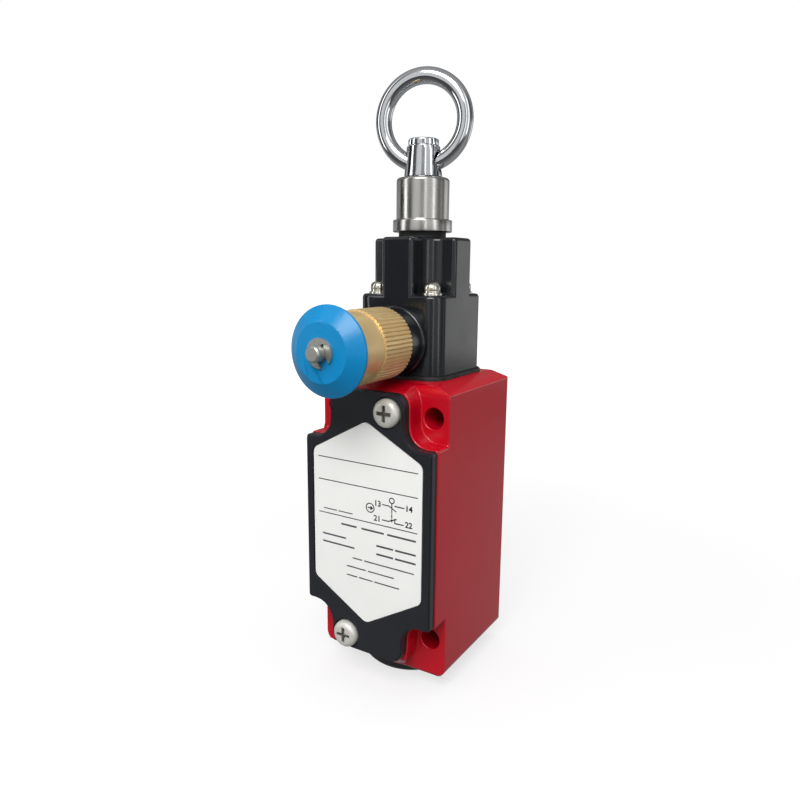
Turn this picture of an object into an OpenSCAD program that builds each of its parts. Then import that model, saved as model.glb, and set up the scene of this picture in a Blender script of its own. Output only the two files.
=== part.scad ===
/*
  Rope pull switch with a pull-to-reset knob, in a 40 mm class metal housing.
  Origin: centre of the four fixing holes, on the back face. +Z up the rod, -Y out of the front, +X right.
  Depths are measured forward from the back face, heights from the origin.
*/

/* [Fixing] */
// Distance from a fixing hole's axis to the side of the housing
fixing_edge = 4.5; // [4:0.1:6]
// Distance between the fixing holes along the housing
fixing_dz = 60; // [58:0.5:62]
// Diameter of the fixing holes
fixing_d = 5.5; // [4.5:0.1:6]

/* [Housing] */
// Width of the housing
body_w = 39; // [38:0.5:44]
// Height of the top face above the fixing centre
body_top = 38.3; // [38:0.1:41]
// Depth of the bottom face below the fixing centre
body_bottom = 40.6; // [39:0.1:43]
// Depth from the back face to the rim under the cover
body_d = 42.1; // [40:0.1:46]
// Thickness of the side walls
side_wall = 2.6; // [2:0.1:3]
// Thickness of the back wall
back_wall = 2.8; // [2.4:0.1:4]
// Thickness of the top wall
top_wall = 5.8; // [5:0.1:6.5]
// Thickness of the bottom wall
bottom_wall = 7; // [6:0.1:8]
// Depth of the fixing pads behind the rim
pad_depth = 5.5; // [4:0.1:7]
// Inner corner radius of the fixing pads
pad_r = 5; // [4:0.1:5.5]
// Half width of the housing between two pads
lobe_half = 11.4; // [11:0.1:11.8]
// Height of the shoulder where the pads begin
shoulder = 23.6; // [23:0.1:24]
// Corner radius of the housing seen from the front
corner_r = 3; // [2:0.1:4]
// Height that the sloped top edge falls
edge_fall = 2; // [1:0.1:2.5]
// Width of the sloped top edge
edge_run = 5; // [3:0.1:6]
// Radius of the upright edges at the back
back_edge_r = 1.5; // [1:0.1:3]

/* [Cover] */
// Thickness of the cover
cover_t = 2.1; // [1.8:0.1:3]
// Depth of the step round the cover's front
cover_edge_t = 0.5; // [0.3:0.1:0.7]
// How far that step is set in
cover_edge_in = 0.3; // [0.2:0.05:0.4]
// Thickness of the seal under the cover
seal_t = 0.8; // [0.6:0.1:1.2]
// Height of the cover's upper edge above the fixing centre
cover_top = 36.75; // [36:0.05:37.5]
// Depth of the cover's lower edge below the fixing centre
cover_bottom = 34.8; // [34:0.1:36]
// Corner radius of the cover's lobes
lobe_r = 3.5; // [2.5:0.1:4.5]
// Step from the edge of the rim to the edge of the cover
cover_step = 0.25; // [0.1:0.05:0.5]
// Width of the seal face under the cover
seal_w = 1.9; // [1.5:0.1:2.1]

/* [Label plate] */
// Half width of the label plate
label_half = 16.75; // [14:0.05:17]
// Height of its upper point above the fixing centre
label_top = 29; // [27:0.1:29]
// Depth of its lower point below the fixing centre
label_bottom = 26; // [24:0.1:26.5]
// Height of its upper shoulders
label_shoulder = 19.9; // [18:0.1:21]
// Depth of its lower shoulders
label_foot = 16.1; // [14:0.1:18]
// Corner radius of the label plate
label_r = 2.2; // [1:0.1:3]
// Thickness of the label plate
label_t = 0.3; // [0.2:0.05:0.5]
// Depth of the recess that holds it
label_recess = 0.5; // [0.4:0.05:0.7]

/* [Cover screws] */
// Distance of each cover screw from the middle plane
cover_screw_x = 6.4; // [6:0.1:6.6]
// Height of the upper cover screw
cover_screw_up = 31.9; // [31:0.1:32.2]
// Depth of the lower cover screw
cover_screw_down = 30.8; // [30.5:0.1:31.2]
// Head diameter of the cover screws
cover_head_d = 7.4; // [6.5:0.1:7.6]
// Head height of the cover screws
cover_head_h = 2.4; // [2:0.1:3]
// Depth that the heads sit in the cover
cover_head_sink = 0.9; // [0.5:0.1:1.3]
// Thread diameter of the cover screws
cover_screw_d = 4; // [3.5:0.1:4]
// Length of the cover screws under the head
cover_screw_l = 11; // [9:0.5:12]
// Diameter of the screw bosses in the housing
cover_boss_d = 7; // [6.6:0.1:7.4]

/* [Conduit entry] */
// Depth of the conduit axis in front of the back face
conduit_depth = 20.8; // [20:0.1:21.5]
// Diameter of the tapped hole in the housing
conduit_hole_d = 24; // [22:0.5:25]
// Bore of the insert, the core of an M20 thread
conduit_bore_d = 18.5; // [16:0.1:19]
// Diameter of the insert's flange
conduit_flange_d = 27.6; // [26:0.1:30]
// Height of the insert's flange
conduit_flange_h = 3.2; // [2:0.1:5]
// Thickness of the sealing ring under the flange
conduit_seal_t = 0.9; // [0.6:0.1:1.2]

/* [Head] */
// Depth of the rod axis in front of the back face
rod_depth = 17.6; // [17.2:0.1:18]
// Thickness of the head seal
head_seal_t = 1.1; // [0.8:0.1:1.6]
// How far the head seal stands proud of the head
head_seal_proud = 0.9; // [0.4:0.1:1.2]
// Width of the head
head_w = 25.4; // [25:0.1:27]
// Depth of the head, front to back
head_d = 26.6; // [26:0.1:28]
// Corner radius of the head's foot
head_r = 4.4; // [3:0.1:5]
// Height of the head's foot
foot_h = 20.75; // [20:0.05:23]
// Height of the cross-shaped tower on the foot
tower_h = 14.75; // [14:0.05:17]
// Width of each arm of the tower
arm_w = 9.4; // [9:0.1:10]
// Fillet radius in the notches of the tower
notch_r = 4.4; // [3.5:0.1:4.6]
// Radius of the tower's upright edges and of the head's top edges
arm_edge_r = 1.1; // [0.6:0.1:1.6]
// Bore of the head for the spring
spring_bore_d = 14.4; // [14:0.1:15]
// Thickness of the head's top above the spring
head_top_t = 4; // [3:0.1:5]

/* [Head screws] */
// Distance of the head screws from the rod axis, sideways
head_screw_dx = 8.2; // [8:0.1:8.6]
// Distance of the head screws from the rod axis, front to back
head_screw_dy = 8.8; // [8.6:0.1:9.2]
// Thread diameter of the head screws
head_screw_d = 2.5; // [2.5:0.1:3]
// Head diameter of the head screws
head_screw_head_d = 4.6; // [4.4:0.1:5]
// Head height of the head screws
head_screw_head_h = 2; // [1.6:0.1:2.2]
// Depth of the head screws' thread in the housing
head_screw_grip = 4.5; // [3:0.1:4.8]
// Diameter of the plain washers
washer_d = 5.4; // [5.2:0.1:5.8]
// Thickness of the plain washers
washer_t = 0.5; // [0.4:0.1:0.6]
// Diameter of the spring washers
lock_washer_d = 4.5; // [4.4:0.1:5]
// Thickness of the spring washers
lock_washer_t = 0.6; // [0.5:0.1:0.7]

/* [Sleeve] */
// Height of the black neck seal
neck_h = 1.55; // [1:0.05:2]
// Diameter of the neck seal
neck_d = 12.8; // [12.4:0.1:14]
// Diameter of the sleeve's collar
collar_d = 16; // [15:0.1:18]
// Height of the sleeve's collar
collar_h = 3.15; // [2.5:0.05:4]
// Diameter of the sleeve
sleeve_d = 14.2; // [13.6:0.1:15]
// Height of the sleeve above its collar
sleeve_h = 10.9; // [9:0.1:14]
// Diameter of the sleeve's threaded spigot
spigot_d = 11; // [10:0.1:11.4]
// Radius of the sleeve's upper edge
sleeve_edge_r = 0.9; // [0.4:0.1:1.2]
// Height of the wiper in the sleeve's mouth
wiper_h = 3.6; // [2.5:0.1:4]

/* [Rod and ring] */
// Diameter of the rod
rod_d = 6; // [5:0.1:6.2]
// Lower diameter of the eye
eye_d = 10.2; // [9.8:0.1:11]
// Upper diameter of the eye
eye_top_d = 8.8; // [8.6:0.1:9.6]
// Height of the eye
eye_h = 7.7; // [7.6:0.1:10]
// Diameter of the cap on the eye
cap_d = 8.1; // [7.6:0.1:8.4]
// Height of the cap
cap_h = 1.7; // [1.2:0.1:3]
// Mean radius of the ring
ring_r = 11.15; // [11:0.05:13]
// Wire diameter of the ring
ring_wire_d = 4.26; // [3.6:0.02:4.3]
// Turn of the ring's plane about the rod
ring_turn = 14; // [0:1:30]
// Travel of the rod
rod_travel = 5; // [3:0.1:5.2]

/* [Latch] */
// Diameter of the latch collar
latch_d = 10; // [9.5:0.1:10.4]
// Depth of the latch groove
groove_depth = 1.2; // [0.8:0.1:1.3]
// Diameter of the spring seat on the latch collar
seat_d = 13.4; // [13:0.1:13.6]
// Thickness of the spring seat
seat_t = 2; // [1.5:0.1:3]
// Height of the lock nut
nut_h = 3.1; // [2.4:0.1:3.4]
// Width of the lock nut across its flats
nut_af = 8; // [7:0.5:8.5]
// Thread diameter of the rod's lower end
rod_thread_d = 5; // [4:0.1:5.2]
// Wire diameter of the main spring
main_wire_d = 1.2; // [1:0.1:1.3]
// Turns of the main spring
main_turns = 6.5; // [5:0.5:7]

/* [Reset] */
// Height of the reset axis above the head's foot
reset_rise = 8.7; // [8.2:0.05:9.6]
// Diameter of the head's round boss
boss_d = 18.8; // [18:0.1:19.5]
// Depth of the boss's front edge, from the back face
boss_front = 32.4; // [32:0.1:34]
// Radius of the boss's front edge
boss_edge_r = 0.8; // [0.5:0.1:1.2]
// Diameter of the black neck in front of the boss
boss_neck_d = 17.6; // [16:0.1:18]
// Depth where the brass guide begins
guide_back = 37.5; // [37:0.1:39]
// Length of the guide's knurled part
knurl_l = 11.7; // [8:0.1:13]
// Length of the guide's plain part
plain_l = 8; // [7:0.1:9]
// Diameter of the guide over the knurl
guide_d = 18.4; // [17:0.1:18.4]
// Depth of the knurl's grooves
knurl_depth = 0.35; // [0.2:0.05:0.4]
// Number of the knurl's grooves
knurl_count = 54; // [44:1:72]
// Diameter of the reset shaft
shaft_d = 5; // [4.6:0.1:5.4]
// Diameter of the shaft's latch nose and of its front end
shaft_end_d = 4; // [3.6:0.1:4.2]
// Bore of the guide that holds the reset spring
guide_bore_d = 10.8; // [10:0.1:11.4]
// Diameter of the flange on the shaft
flange_d = 10; // [9:0.1:10.2]
// Travel of the reset knob
reset_travel = 4.5; // [3:0.1:4.6]
// Wire diameter of the reset spring
reset_wire_d = 0.8; // [0.6:0.1:0.9]
// Turns of the reset spring
reset_turns = 4; // [3:0.5:4.5]

/* [Knob] */
// Diameter of the knob
knob_d = 21.6; // [20:0.1:26]
// Diameter of the knob's flat front
knob_face_d = 14.2; // [12:0.1:16]
// Height of the knob's bevel
knob_bevel_h = 2.6; // [1.5:0.1:4]
// Thickness of the knob's rim
knob_rim_t = 0.9; // [0.6:0.1:2]
// Distance from the guide to the knob's rim
knob_gap = 1.9; // [1.5:0.1:4]
// Diameter of the knob's hub
knob_hub_d = 11; // [10:0.1:13]
// Length of the shaft in front of the knob
shaft_proud = 3.3; // [2.5:0.1:4]
// Diameter of the retaining clip
clip_d = 7; // [6:0.1:8]
// Thickness of the retaining clip
clip_t = 0.7; // [0.5:0.1:0.9]

/* [Contact block] */
// Half width of the contact block
block_half = 14.6; // [14.4:0.1:15]
// Height of the block's top above the fixing centre
block_top = 16; // [15.5:0.1:17]
// Depth of the block's foot below the fixing centre
block_bottom = 20; // [19.6:0.1:20.4]
// Distance from the back face to the block
block_back = 5; // [4.6:0.1:5.4]
// Distance from the back face to the block's front
block_front = 30; // [29.8:0.1:31]
// Half width of the block's chamber
chamber_half = 7.6; // [7.4:0.1:7.8]
// Half depth of the block's chamber
chamber_half_d = 6; // [5.6:0.1:6.2]
// Thickness of the block's top wall
block_roof = 4; // [3.6:0.1:4.4]
// Thickness of the block's floor
block_floor = 2.5; // [2:0.1:3]
// Diameter of the plunger's stem
plunger_d = 6; // [5:0.1:6.4]
// Height of the lower, closed pair of fixed contacts
nc_height = -10.1; // [-10.4:0.1:-9.8]
// Thickness of the contact strips
strip_t = 1; // [0.8:0.1:1.1]
// Distance of the contact tips from the middle plane
tip_x = 5.9; // [5.8:0.05:6]
// Diameter of the contact tips
tip_d = 2.4; // [2:0.1:2.4]
// Height of the contact tips
tip_h = 0.6; // [0.5:0.05:0.7]
// Thickness of the moving bridges
bridge_t = 0.8; // [0.6:0.1:0.9]
// Width of the moving bridges
bridge_w = 3.2; // [2.6:0.1:3.6]
// Distance of the terminals from the middle plane
terminal_x = 10.9; // [10.8:0.05:11]
// Thread diameter of the terminal screws
terminal_d = 3.5; // [3:0.1:3.5]
// Length of the terminal screws
terminal_l = 8; // [6:0.5:9]
// Head diameter of the terminal screws
terminal_head_d = 6; // [5.5:0.1:6.2]
// Head height of the terminal screws
terminal_head_h = 2.2; // [1.8:0.1:2.4]
// Height of the block screws above the fixing centre
block_screw_height = -0.5; // [-0.8:0.1:-0.2]
// Thread diameter of the block screws
block_screw_d = 3; // [2.6:0.1:3]
// Head diameter of the block screws
block_head_d = 5.4; // [5:0.1:5.6]
// Head height of the block screws
block_head_h = 1.9; // [1.6:0.1:2.2]

/* [Earth terminal] */
// Distance of the earth screw from the middle plane
earth_x = 3.5; // [3:0.1:4]
// Depth of the earth screw below the fixing centre
earth_down = 26.6; // [26:0.1:27]
// Thread diameter of the earth screw
earth_d = 4; // [3.5:0.1:4]
// Length of the earth screw
earth_l = 6; // [5:0.5:6.5]
// Head diameter of the earth screw
earth_head_d = 6.8; // [6.4:0.1:7]
// Head height of the earth screw
earth_head_h = 2.4; // [2:0.1:2.8]
// Width of the earth terminal's saddle
earth_saddle_w = 8; // [7.4:0.1:8.2]

/* [Hidden] */
$fn = 64;
fit = 0.05;              // radial clearance of guided round parts
loose = 0.2;             // radial clearance of screws in plain holes
seat = 0.02;             // gap between faces that are bolted or pressed together
rest_gap = 0.3;          // gap between moving faces that meet at rest
cut = 1;                 // overshoot of cutting solids
arc_steps = 6;

fixing_dx = body_w - 2 * fixing_edge;

// Heights that stack up along the rod
foot_base = body_top + head_seal_t;
reset_height = foot_base + reset_rise;
foot_top = foot_base + foot_h;
tower_top = foot_top + tower_h;
neck_top = tower_top + neck_h;
collar_top = neck_top + collar_h;
sleeve_top = collar_top + sleeve_h;
wiper_seat = sleeve_top - rest_gap - wiper_h;
eye_base = sleeve_top + rest_gap;
eye_top = eye_base + eye_h;
cap_base = eye_top + 0.25;
cap_top = cap_base + cap_h;
spring_top = tower_top - head_top_t;
guide_bush_h = 5.5;
seat_top = reset_height + shaft_end_d / 2 + 1.4 + seat_t;
latch_base = foot_base - 1.4;
rod_shoulder = latch_base + 2.2;
nut_base = latch_base - 0.1 - nut_h;
rod_foot = nut_base - 0.3;
plunger_top = rod_foot - 0.1;
groove_height = reset_height - rod_travel;
head_screw_seat = foot_top + washer_t + lock_washer_t + 3 * seat;

// Head outline; the top edges keep a little of the upright edges' radius
top_edge_r = arm_edge_r - 0.1;
head_half_w = head_w / 2;
head_half_d = head_d / 2;
head_front = rod_depth + head_half_d;

// Ring through the eye: a straight cross hole wide enough for the curved wire
eye_mid_d = eye_d - (eye_d - eye_top_d) * 0.5;
wire_r = ring_wire_d / 2;
wire_rise = ring_r - sqrt(pow(ring_r - wire_r, 2) - pow(eye_mid_d / 2, 2));
ring_drop = (wire_rise - wire_r) / 2;
eye_hole_r = wire_r + ring_drop + 0.1;
eye_hole_height = eye_base + eye_h / 2;
ring_height = eye_hole_height + ring_r - ring_drop;

// Reset parts, as depths from the back face
guide_neck = guide_back + knurl_l;
guide_front = guide_neck + plain_l;
guide_wall = 2.7;
spring_front = guide_front - guide_wall;
nose_tip = rod_depth + latch_d / 2 + loose;
boss_thread_d = 14;
boss_thread_l = 4.6;
flange_back = guide_back + boss_thread_l + 2.1;
flange_t = 1.2;
knob_hub_back = guide_front + rest_gap;
knob_rim_back = guide_front + knob_gap;
knob_rim_front = knob_rim_back + knob_rim_t;
knob_front = knob_rim_front + knob_bevel_h;
shaft_front = knob_front + shaft_proud;
clip_back = knob_front + seat;

// Cover stack, as depths from the back face
seal_front = body_d + seal_t;
cover_back = seal_front + seat;
cover_front = cover_back + cover_t;
cover_screw_seat = cover_front - cover_head_sink;
cavity_top = body_top - top_wall;
cavity_bottom = body_bottom - bottom_wall;
pad_plane = body_d - pad_depth;
earth_seat = back_wall + 4;

// Contact block
chamber_top = block_top - block_roof;
chamber_bottom = -block_bottom + block_floor;
nc_tip_top = nc_height + strip_t / 2 + tip_h;
nc_bar = nc_tip_top + fit + tip_h;
bridge_spring_l = 2.8;
nc_window_top = nc_bar + bridge_t + bridge_spring_l + fit;
no_bar = nc_window_top + 3.2 + bridge_spring_l;
no_tip_top = no_bar + bridge_t + tip_h;
no_height = no_tip_top + rod_travel + fit + tip_h + strip_t / 2;
plunger_body_top = no_bar + bridge_t + fit + 2.6;
plunger_body_bottom = nc_bar - fit - 2.4;
window_w = bridge_w + 2 * loose;
plunger_half = 3.4;
plunger_half_d = 4.2;
tab_half = 3.2;
tab_gap = 0.1;
terminal_thread_l = 6.4;
block_screw_x = terminal_x + 0.3;
block_boss_d = block_screw_d + 4;

function arc(cx, cy, r, a0, a1, n = arc_steps) =
    [for (i = [0:n]) let (a = a0 + (a1 - a0) * i / n) [cx + r * cos(a), cy + r * sin(a)]];

// A closed outline from its right half, listed upwards
function both_sides(half) =
    concat(half, [for (i = [len(half) - 1:-1:0]) [-half[i][0], half[i][1]]]);

// Right half of the outline between the four fixing pads, moved inwards by m
function waist(m, low, high, r_low, r_high) = concat(
    arc(lobe_half - m - r_low, -low + r_low, r_low, -90, 0),
    arc(lobe_half + pad_r, -shoulder - pad_r, pad_r + m, 180, 90),
    arc(body_w / 2 - m - 0.8, -shoulder + m + 0.8, 0.8, -90, 0, 3),
    arc(body_w / 2 - m - 0.8, shoulder - m - 0.8, 0.8, 0, 90, 3),
    arc(lobe_half + pad_r, shoulder + pad_r, pad_r + m, 270, 180),
    arc(lobe_half - m - r_high, high - r_high, r_high, 0, 90));

// A corner of a polygon between two edges, rounded with radius r
function unit(v) = v / norm(v);
function round_corner(before, at, after, r, n = 4) =
    let (u = unit(before - at), v = unit(after - at), half = acos(u * v) / 2,
         centre = at + unit(u + v) * r / sin(half), p = at + u * r / tan(half), q = at + v * r / tan(half),
         a0 = atan2(p[1] - centre[1], p[0] - centre[0]), a1 = atan2(q[1] - centre[1], q[0] - centre[0]),
         turn = a1 - a0 > 180 ? a1 - a0 - 360 : a1 - a0 < -180 ? a1 - a0 + 360 : a1 - a0)
    [for (i = [0:n]) let (a = a0 + turn * i / n) centre + r * [cos(a), sin(a)]];
function rounded(points, r) =
    [for (i = [0:len(points) - 1])
        each round_corner(points[(i + len(points) - 1) % len(points)], points[i],
                          points[(i + 1) % len(points)], r)];

// Joins outlines at rising heights into one solid; each ring is [height, points], listed anticlockwise
module loft(rings) {
    count = len(rings[0][1]);
    last = len(rings) - 1;
    points = [for (ring = rings) for (p = ring[1]) [p[0], p[1], ring[0]]];
    walls = [for (i = [0:last - 1]) for (k = [0:count - 1])
        let (p = i * count + k, q = i * count + (k + 1) % count)
        each [[p, p + count, q + count], [p, q + count, q]]];
    floor_face = [for (k = [0:count - 1]) k];
    roof_face = [for (k = [count - 1:-1:0]) last * count + k];
    polyhedron(points, concat(walls, [floor_face, roof_face]));
}

// Heights and insets of an edge under a top face, rounded with radius r
function edge_steps(top, r, n = 4) =
    [for (i = [0:n]) let (a = 90 * i / n) [top - r + r * sin(a), r * (1 - cos(a))]];

// Extrudes an outline in X and Z forwards, between two depths
module forward(from, to) {
    translate([0, -from, 0]) rotate([90, 0, 0]) linear_extrude(to - from) children();
}

// Extrudes an outline in depth and Z sideways, centred on the middle plane
module sideways(width) {
    rotate([90, 0, -90]) translate([0, 0, -width / 2]) linear_extrude(width) children();
}

// A round bar along the depth, between two depths
module bar_forward(x, z, d, from, to) {
    translate([x, -from, z]) rotate([90, 0, 0]) cylinder(d = d, h = to - from);
}

module at_rod() { translate([0, -rod_depth, 0]) children(); }
module at_reset() { translate([0, 0, reset_height]) rotate([90, 0, 0]) children(); }

// A ring or tube between two heights
module tube(outer_d, inner_d, low, high) {
    translate([0, 0, low]) difference() {
        cylinder(d = outer_d, h = high - low);
        translate([0, 0, -cut]) cylinder(d = inner_d, h = high - low + 2 * cut);
    }
}

// A round wire wound into a coil, standing on z = 0, its ends inside the given length
module coil(mean_d, wire_d, length, turns, steps = 16, sides = 6) {
    count = round(turns * steps);
    rise = (length - wire_d) / count;
    tilt = atan(rise * steps / (PI * mean_d));
    points = [for (i = [0:count]) let (a = 360 * i / steps) for (k = [0:sides - 1])
        let (b = 360 * k / sides, r = mean_d / 2 + wire_d / 2 * cos(b), s = wire_d / 2 * sin(b))
        [r * cos(a) + s * sin(tilt) * sin(a), r * sin(a) - s * sin(tilt) * cos(a),
         wire_d / 2 + rise * i + s * cos(tilt)]];
    walls = [for (i = [0:count - 1]) for (k = [0:sides - 1])
        let (p = i * sides + k, q = i * sides + (k + 1) % sides) each [[p, q + sides, q], [p, p + sides, q + sides]]];
    first = [for (k = [0:sides - 1]) k];
    last = [for (k = [sides - 1:-1:0]) count * sides + k];
    polyhedron(points, concat(walls, [first, last]));
}

// A pan-head screw along -Z from its seat at z = 0, with a crossed recess
module pan_screw(d, length, head_d, head_h) {
    recess_w = head_d * 0.14;
    difference() {
        union() {
            translate([0, 0, -length]) cylinder(d = d, h = length);
            rotate_extrude() polygon(concat([[0, 0], [head_d / 2, 0], [head_d / 2, head_h * 0.35]],
                arc(head_d / 2 - head_h * 0.65, head_h * 0.35, head_h * 0.65, 0, 90), [[0, head_h]]));
        }
        for (turn = [0, 90]) rotate([0, 0, turn]) {
            translate([-head_d * 0.29, -recess_w / 2, head_h * 0.4]) cube([head_d * 0.58, recess_w, head_h]);
        }
    }
}

module pan_screw_forward(x, z, depth, d, length, head_d, head_h) {
    translate([x, -depth, z]) rotate([90, 0, 0]) pan_screw(d, length, head_d, head_h);
}

// ---- Housing ----

module body_outline() {
    polygon(both_sides(concat(
        arc(body_w / 2 - corner_r, -body_bottom + corner_r, corner_r, -90, 0),
        [[body_w / 2, body_top - edge_fall], [body_w / 2 - edge_run, body_top]])));
}

module body_plan() {
    polygon(both_sides(concat([[body_w / 2, -body_d]],
        arc(body_w / 2 - back_edge_r, -back_edge_r, back_edge_r, 0, 90, 3))));
}

// Casting behind the pads, with rounded upper and lower front edges
module body_block() {
    top_r = 3;
    intersection() {
        forward(0, pad_plane) body_outline();
        sideways(body_w + 2 * cut) polygon(concat([[0, -body_bottom]],
            arc(pad_plane - 1, -body_bottom + 1, 1, -90, 0, 3),
            arc(pad_plane - top_r, body_top - top_r, top_r, 0, 90),
            [[edge_fall, body_top], [0, body_top - edge_fall]]));
        translate([0, 0, -body_bottom]) linear_extrude(body_bottom + body_top) body_plan();
    }
}

// Raised rim that carries the cover, sloping back to the top and bottom faces
module body_rim() {
    rim_back = pad_plane - 4;
    low_r = lobe_r + body_bottom - cover_bottom;
    high_r = lobe_r + body_top - cover_top;
    intersection() {
        forward(rim_back, body_d) polygon(both_sides(waist(0, body_bottom, body_top, low_r, high_r)));
        sideways(body_w + 2 * cut) polygon([[rim_back, -body_bottom], [pad_plane, -body_bottom],
            [body_d, -cover_bottom - cover_step], [body_d, cover_top + cover_step],
            [pad_plane - 3, body_top], [rim_back, body_top]]);
    }
}

module body_cavity() {
    difference() {
        forward(back_wall, body_d + cut)
            polygon(both_sides(waist(side_wall, cavity_bottom, cavity_top, 2, 2)));
        for (s = [1, -1]) {
            bar_forward(s * cover_screw_x, s > 0 ? cover_screw_up : -cover_screw_down, cover_boss_d,
                        body_d - cover_screw_l - 4, body_d + cut);
        }
        for (s = [1, -1]) {
            bar_forward(s * block_screw_x, block_screw_height, block_boss_d, 0, block_back - seat);
        }
        bar_forward(earth_x, -earth_down, earth_saddle_w, 0, earth_seat);
    }
}

module housing() {
    color("#B8001C") difference() {
        union() {
            body_block();
            body_rim();
        }
        body_cavity();
        for (sx = [-1, 1]) for (sz = [-1, 1]) {
            bar_forward(sx * fixing_dx / 2, sz * fixing_dz / 2, fixing_d, -cut, body_d);
        }
        for (s = [1, -1]) {
            bar_forward(s * cover_screw_x, s > 0 ? cover_screw_up : -cover_screw_down, cover_screw_d + 2 * seat,
                        body_d - cover_screw_l, body_d + cut);
            bar_forward(s * block_screw_x, block_screw_height, block_screw_d + 2 * seat, 1.2, block_back + cut);
        }
        bar_forward(earth_x, -earth_down, earth_d + 2 * seat, back_wall / 2, earth_seat + cut);
        at_rod() {
            translate([0, 0, cavity_top - cut]) cylinder(d = latch_d + 6, h = top_wall + 2 * cut);
            for (sx = [-1, 1]) for (sy = [-1, 1]) {
                translate([sx * head_screw_dx, sy * head_screw_dy, body_top - head_screw_grip - 0.4])
                    cylinder(d = head_screw_d + 2 * seat, h = head_screw_grip + 0.4 + cut);
            }
        }
        translate([0, -conduit_depth, -body_bottom - cut])
            cylinder(d = conduit_hole_d, h = bottom_wall + 2 * cut);
    }
}

// ---- Cover ----

function cover_half(m) = waist(cover_step + m, cover_bottom - m, cover_top - m, lobe_r, lobe_r);

function label_points(m) = rounded([[label_half + m, -label_foot], [label_half + m, label_shoulder],
    [0, label_top + m], [-label_half - m, label_shoulder], [-label_half - m, -label_foot],
    [0, -label_bottom - m]], label_r + m);

module cover() {
    color("#1B1C1E") difference() {
        union() {
            forward(cover_back, cover_front - cover_edge_t) polygon(both_sides(cover_half(0)));
            forward(cover_front - cover_edge_t, cover_front) polygon(both_sides(cover_half(cover_edge_in)));
        }
        forward(cover_front - label_recess, cover_front + cut) polygon(label_points(0.35));
        for (s = [1, -1]) {
            height = s > 0 ? cover_screw_up : -cover_screw_down;
            bar_forward(s * cover_screw_x, height, cover_head_d + 4 * loose, cover_screw_seat, cover_front + cut);
            bar_forward(s * cover_screw_x, height, cover_screw_d + 2 * loose, cover_back - cut, cover_front);
        }
    }
}

module cover_gasket() {
    color("#101010") difference() {
        forward(body_d + seat, seal_front) polygon(both_sides(cover_half(0)));
        difference() {
            forward(body_d - cut, seal_front + cut) polygon(both_sides(cover_half(seal_w)));
            for (s = [1, -1]) {
                bar_forward(s * cover_screw_x, s > 0 ? cover_screw_up : -cover_screw_down, cover_boss_d,
                            body_d - 2 * cut, seal_front + 2 * cut);
            }
        }
        for (s = [1, -1]) {
            bar_forward(s * cover_screw_x, s > 0 ? cover_screw_up : -cover_screw_down, cover_screw_d + 2 * loose,
                        body_d - cut, seal_front + cut);
        }
    }
}

module label_plate() {
    color("#EDEDEB") forward(cover_front - label_recess + seat, cover_front - label_recess + seat + label_t)
        polygon(label_points(0));
}

module cover_screws() {
    color("#C9C9C4") for (s = [1, -1]) {
        pan_screw_forward(s * cover_screw_x, s > 0 ? cover_screw_up : -cover_screw_down, cover_screw_seat + seat,
                          cover_screw_d, cover_screw_l, cover_head_d, cover_head_h);
    }
}

// ---- Conduit entry ----

module conduit_bush() {
    flange_top = -body_bottom - conduit_seal_t;
    color("#1A1A1B") translate([0, -conduit_depth, 0]) difference() {
        union() {
            translate([0, 0, flange_top - conduit_flange_h]) rotate_extrude() polygon([[0, 0],
                [conduit_flange_d / 2 - 1.2, 0], [conduit_flange_d / 2, 1.2],
                [conduit_flange_d / 2, conduit_flange_h], [0, conduit_flange_h]]);
            translate([0, 0, flange_top]) cylinder(d = conduit_hole_d - 2 * fit, h = bottom_wall + conduit_seal_t - 0.5);
        }
        translate([0, 0, flange_top - conduit_flange_h - cut])
            cylinder(d = conduit_bore_d, h = bottom_wall + conduit_flange_h + conduit_seal_t + 2 * cut);
    }
}

module conduit_seal() {
    color("#0C0C0C") translate([0, -conduit_depth, 0])
        tube(conduit_flange_d - 1.2, conduit_hole_d + 2 * fit, -body_bottom - conduit_seal_t + seat, -body_bottom - seat);
}

// ---- Head ----

function box_points(half_x, half_y, r) = rounded([[half_x, -half_y], [half_x, half_y],
    [-half_x, half_y], [-half_x, -half_y]], r);

function foot_points(m) = box_points(head_half_w - m, head_half_d - m, head_r - m);

// Quarter of the tower's outline, moved inwards by m: right and front arms with the filleted notch between them
function tower_quarter(m) =
    let (long = head_half_d - m, side = head_half_w - m, half = arm_w / 2, e = arm_edge_r - m)
    concat(arc(side - e, half - m - e, e, 0, 90, 3),
           arc(half + notch_r, half + notch_r, notch_r + m, 270, 180),
           arc(half - m - e, long - e, e, 0, 90, 3));

function turned(points, sx, sy) = [for (p = points) [sx * p[0], sy * p[1]]];
function backwards(points) = [for (i = [len(points) - 1:-1:0]) points[i]];

function tower_points(m) =
    let (quarter = tower_quarter(m))
    concat(quarter, backwards(turned(quarter, -1, 1)), turned(quarter, -1, -1),
           backwards(turned(quarter, 1, -1)));

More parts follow.
